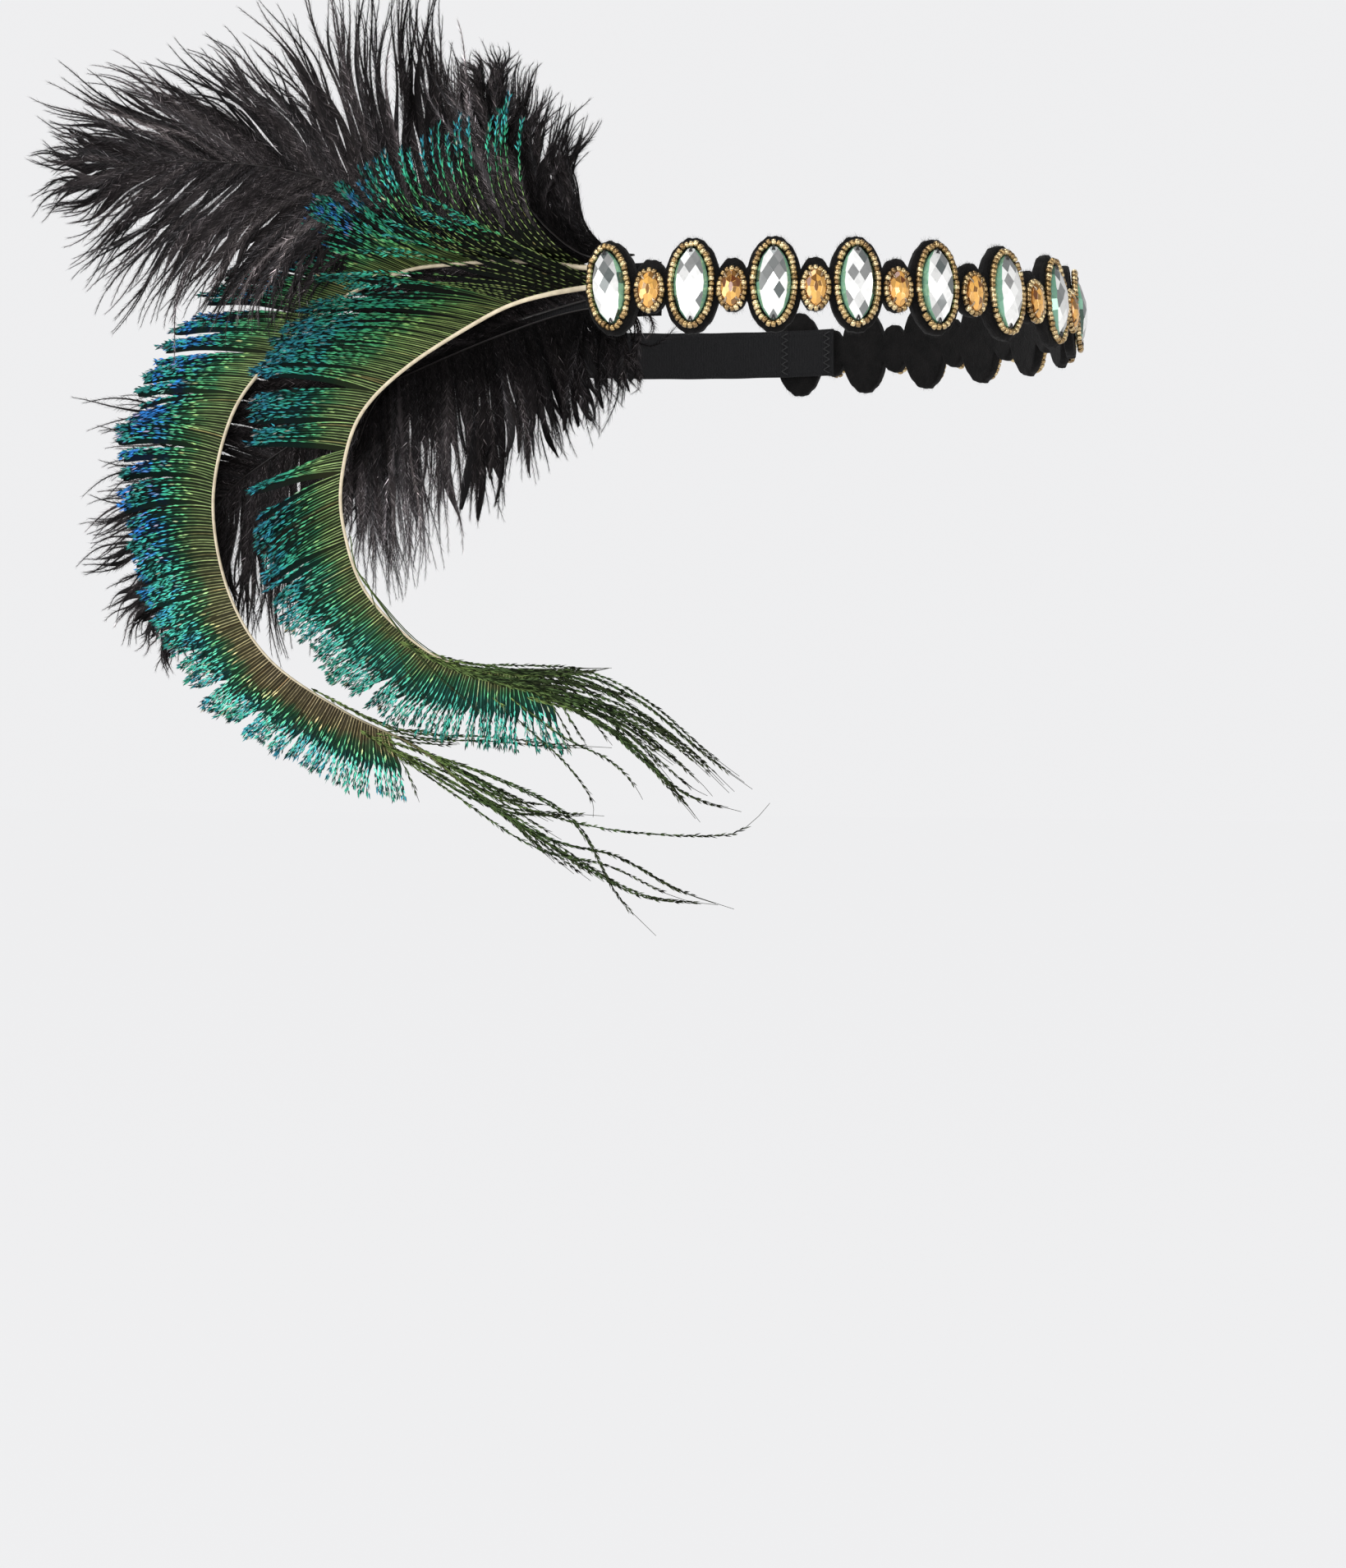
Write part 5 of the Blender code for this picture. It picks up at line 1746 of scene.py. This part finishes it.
PLUME_LOOKS = {
    "pitch": 0.00052, "clump": (3, 8), "ragged": 0.09, "stray": 3.0, "curl": 9.0, "wave": 0.0019,
    "depth": 0.0020, "alone": 0.75, "together": 0.20, "thinning": 0.28, "drawn_late": 2.6,
}
BARBULE_STEP = 0.00033
BARBULE_LENGTH = 0.0031
BARBULE_FULLNESS = ((0.0, 0.10, 0.30, 0.75, 1.0), (0.25, 0.55, 1.0, 0.95, 0.50))
BARBULE_HALF_FOOT = 0.00011
BARBULE_LEAN = (25, 9)
BARBULE_ROUND = 40
FLUE_STEM_HALF = 0.00040
FLUE_STEM_TONE = 0.40
FLUE_REACH = 0.0022

# The shares along a flue between which it goes from its feather's heart tone, a painted shade near the
# quill, to its own
HEART_SHADE_SPAN = (0.2, 0.7)
TUFT_SPREAD = 0.0018
SHEEN_CLUMP = 4


def flue_barbules(courses, length, tone, light, heart, warm, dice):
    """Soft barbules on both sides of each flue, in every direction round it."""
    steps = np.maximum((length / BARBULE_STEP).astype(int), 8)
    barb, order = counted_out(steps)
    parts = []
    for side in (-1.0, 1.0):
        along = (order + dice.uniform(0, 1.0, len(barb))) / steps[barb]
        place, way = sampled(courses, barb, along)
        number = len(barb)
        across = np.cross(OUTWARD, way) * side
        roll = np.radians(dice.normal(0, BARBULE_ROUND, number))[:, None]
        out = across * np.cos(roll) + OUTWARD * np.sin(roll)
        lean = dice.normal(*BARBULE_LEAN, number) * np.interp(along, (0.75, 1.0), (1.0, 0.55))
        lean = np.radians(lean)[:, None]
        full = np.interp(along, *BARBULE_FULLNESS)
        long = (BARBULE_LENGTH * full * dice.uniform(0.7, 1.15, number))[:, None]
        tip = place + (out * np.sin(lean) + way * np.cos(lean)) * long
        foot = way * BARBULE_HALF_FOOT
        places = np.stack([place - foot, place + foot, tip], 1).reshape(-1, 3)
        faces = np.arange(number * 3).reshape(-1, 3)
        # Each barbule's light paints sheen and shade: its plume's tone, its flue's and clump's painted
        # sheen, a painted glint of its own, and painted shade near the quill.
        own = light[barb] ** np.interp(along, (0.1, 0.5), (0.3, 1.0))
        bright = tone * own * dice.lognormal(-0.3, 0.95, number)
        bright = bright * np.interp(along, HEART_SHADE_SPAN, (heart, 1.0))
        values = finish_values(along, 0.0, bright, warm[barb])
        parts.append((places, faces, np.repeat(values, 3, axis=0)))
    return parts


def flue_stems(courses, tone, light, heart, warm, closed_to, half):
    """The dark heart of each flue, which joins its neighbours near the quill."""
    level = FLUE_STEM_TONE * tone * light[:, None] * np.interp(ALONG, HEART_SHADE_SPAN, (heart, 1.0))
    return webs(courses, closed_to, half, FLUE_REACH, finish_values(ALONG, 0.0, level, warm[:, None]))


def make_plume(name, feather, seed, flue, quill, node):
    """A plume: flues on both sides of its quill, and where it has a tuft, loose ones with them."""
    dice = np.random.default_rng(seed)
    tone, heart = feather["tone"], feather["heart"]
    for side in ("left", "right"):
        courses, root, length = barb_courses(feather, side, PLUME_LOOKS, dice)
        tufted = side == "right" and "tuft" in feather
        if tufted:
            tuft, tuft_length = strand_courses(feather, feather["tuft"], TUFT_SPREAD, dice)
            courses = np.concatenate([courses, tuft])
            length = np.concatenate([length, tuft_length])
            root = np.concatenate([root, np.zeros(len(tuft))])
        # Painted sheen: each flue and each clump of flues is painted lighter or darker.
        light = dice.lognormal(0.0, 0.35, len(courses))
        clumps = dice.lognormal(0.0, 0.50, len(courses) // SHEEN_CLUMP + 1)
        light = light * np.repeat(clumps, SHEEN_CLUMP)[: len(courses)]
        light = light * np.interp(root, (0.5, 0.8), (1.0, feather.get("pale_end", 1.0)))
        warm = dice.random(len(courses))
        closed_to = dice.uniform(*feather["full_to"], len(courses))
        closed_to -= np.interp(root, (0.5, 0.75), (0.0, feather.get("loose_end", 0.0)))
        if tufted:
            closed_to[-len(tuft) :] = -WEB_PARTING
        stem = feather.get("stem", FLUE_STEM_HALF)
        parts = [flue_stems(courses, tone, light, heart, warm, closed_to, stem)]
        parts += flue_barbules(courses, length, tone, light, heart, warm, dice)
        feather_piece(f"{name}_flues_{side}", parts, flue, "black_ostrich", node)
    make_quill(f"{name}_quill", feather, quill, "black_ostrich", node)


# The studio: a pale floor, soft lights and the camera

FLOOR_HEIGHT = -0.349
FLOOR_SIZE = 16.0
CAMERA_AZIMUTH = math.radians(-69.84)
CAMERA_DISTANCE = 0.9504
CAMERA_HEIGHT = -0.1264
CAMERA_YAW = 0.01912
CAMERA_PITCH = -0.01336
CAMERA_LENS = 72.04
CAMERA_SENSOR = 36.0
PALE = (0.86, 0.86, 0.87)


def set_camera():
    heading = CAMERA_AZIMUTH + CAMERA_YAW
    place = Vector((math.sin(CAMERA_AZIMUTH), -math.cos(CAMERA_AZIMUTH), 0.0)) * CAMERA_DISTANCE
    place.z = CAMERA_HEIGHT
    level = math.cos(CAMERA_PITCH)
    look = Vector((-math.sin(heading) * level, math.cos(heading) * level, math.sin(CAMERA_PITCH)))
    right = Vector((math.cos(heading), math.sin(heading), 0.0))
    axes = Matrix((right, right.cross(look), -look)).transposed().to_4x4()
    camera = bpy.data.cameras.new("photo_view")
    camera.sensor_width = CAMERA_SENSOR
    camera.lens = CAMERA_LENS
    stand = bpy.data.objects.new("photo_view", camera)
    bpy.context.collection.objects.link(stand)
    stand.matrix_world = Matrix.Translation(place) @ axes
    bpy.context.scene.camera = stand
    return right, look


def set_floor():
    bpy.ops.object.select_all(action="DESELECT")
    bpy.ops.mesh.primitive_plane_add(size=FLOOR_SIZE, location=(0.0, 0.0, FLOOR_HEIGHT))
    floor = picked_up("pale_floor")
    pale = Finish("pale_floor")
    pale.colour(pale.ramp(pale.noise(3.0), ((0.3, grey(0.018)), (0.7, grey(0.020)))))
    pale.constant(Roughness=0.8, Specular_IOR_Level=0.0, Emission_Color=(0.85, 0.85, 0.86, 1.0))
    pale.constant(Emission_Strength=1.0)
    floor.data.materials.append(pale.material)


# Softboxes: name, place towards the view's right, along it and up, size, power
SOFTBOXES = (
    ("front_softbox", (-0.15, -1.3, 0.10), (0.5, 0.7), 6.0),
    ("left_softbox", (-1.1, -0.6, 0.05), (0.7, 1.4), 9.0),
    ("top_softbox", (-0.3, -0.3, 1.2), (0.9, 0.7), 7.0),
    ("right_softbox", (1.2, -0.9, 0.2), (0.4, 0.9), 3.5),
)
LIGHTS_AIM = (-0.05, 0.02, -0.02)
WORLD_STRENGTH = 0.9


def softbox(name, place, size, power):
    lamp = bpy.data.lights.new(name, "AREA")
    lamp.shape = "RECTANGLE"
    lamp.size, lamp.size_y = size
    lamp.energy = power
    stand = bpy.data.objects.new(name, lamp)
    bpy.context.collection.objects.link(stand)
    aim = Vector(LIGHTS_AIM) - place
    stand.matrix_world = Matrix.Translation(place) @ aim.to_track_quat("-Z", "Y").to_matrix().to_4x4()


def set_lights(right, look):
    """A broad softbox behind the camera, one at its left, one overhead and a weak one at its right."""
    up = Vector((0.0, 0.0, 1.0))
    for name, (aside, ahead, above), size, power in SOFTBOXES:
        softbox(name, right * aside + look * ahead + up * above, size, power)


def set_world():
    """Light from all round, bright near the floor and dim overhead. The camera sees one pale tone."""
    world = bpy.data.worlds.new("studio")
    bpy.context.scene.world = world
    world.use_nodes = True
    nodes, links = world.node_tree.nodes, world.node_tree.links
    seen = nodes["Background"]
    seen.inputs["Color"].default_value = (*PALE, 1.0)
    lit = nodes.new("ShaderNodeBackground")
    lit.inputs["Strength"].default_value = WORLD_STRENGTH
    direction = nodes.new("ShaderNodeTexCoord")
    height = nodes.new("ShaderNodeSeparateXYZ")
    links.new(direction.outputs["Generated"], height.inputs[0])
    half = nodes.new("ShaderNodeMath")
    half.operation = "MULTIPLY_ADD"
    half.inputs[1].default_value = 0.5
    half.inputs[2].default_value = 0.5
    links.new(height.outputs["Z"], half.inputs[0])
    shade = nodes.new("ShaderNodeValToRGB")
    stops = shade.color_ramp.elements
    stops[0].position, stops[0].color = 0.45, (0.95, 0.95, 0.95, 1.0)
    stops[1].position, stops[1].color = 0.85, (0.22, 0.22, 0.23, 1.0)
    links.new(half.outputs[0], shade.inputs["Fac"])
    links.new(shade.outputs["Color"], lit.inputs["Color"])
    path = nodes.new("ShaderNodeLightPath")
    choice = nodes.new("ShaderNodeMixShader")
    links.new(path.outputs["Is Camera Ray"], choice.inputs[0])
    links.new(lit.outputs[0], choice.inputs[1])
    links.new(seen.outputs[0], choice.inputs[2])
    links.new(choice.outputs[0], nodes["World Output"].inputs["Surface"])
    bpy.context.scene.view_settings.view_transform = "Standard"


# The stones' glass: the foiled heart, the rim, and the colour of the darkest facets' painted dark
# reflection
MINT = ((1.0, 1.0, 0.98), (0.22, 0.48, 0.34), (0.10, 0.12, 0.12))
AMBER = ((0.95, 0.50, 0.11), (0.55, 0.22, 0.03), (0.14, 0.05, 0.01))


def make_headband():
    thread = black_thread()
    make_felt_band(black_felt())
    make_felt_fibres(felt_fibre())
    make_elastic_band(black_elastic())
    make_crystal_stitches(thread)
    make_elastic_stitches(thread)
    mint = foiled_stone("mint_crystal", *MINT, 900.0)
    amber = foiled_stone("amber_stone", *AMBER, 1500.0)
    make_crystals(mint)
    make_beads_and_ambers(antique_gold(), claw_metal(), amber)
    green = peacock_herl("green_herl", 0.25, (0.215, 0.240, 0.115), 0.16)
    blue = peacock_herl("blue_herl", 0.85, (0.290, 0.235, 0.140), 0.31)
    cream = cream_quill()
    inner = (INNER_SWORD, INNER_STRANDS, INNER_FILAMENTS)
    outer = (OUTER_SWORD, OUTER_STRANDS, ())
    make_sword("inner_sword", *inner, 11, green, cream, "sword_feather_inner")
    make_sword("outer_sword", *outer, 12, blue, cream, "sword_feather_outer")
    flue, dark = ostrich_flue(), black_quill()
    make_plume("rear_plume", REAR_PLUME, 21, flue, dark, "ostrich_plume_rear")
    make_plume("top_plume", TOP_PLUME, 22, flue, dark, "ostrich_plume_top")
    make_plume("lower_plume", LOWER_PLUME, 23, flue, dark, "ostrich_plume_lower")
    make_plume("back_plume", BACK_PLUME, 24, flue, dark, "ostrich_plume_back")


camera_right, camera_look = set_camera()
set_floor()
set_lights(camera_right, camera_look)
set_world()
make_headband()
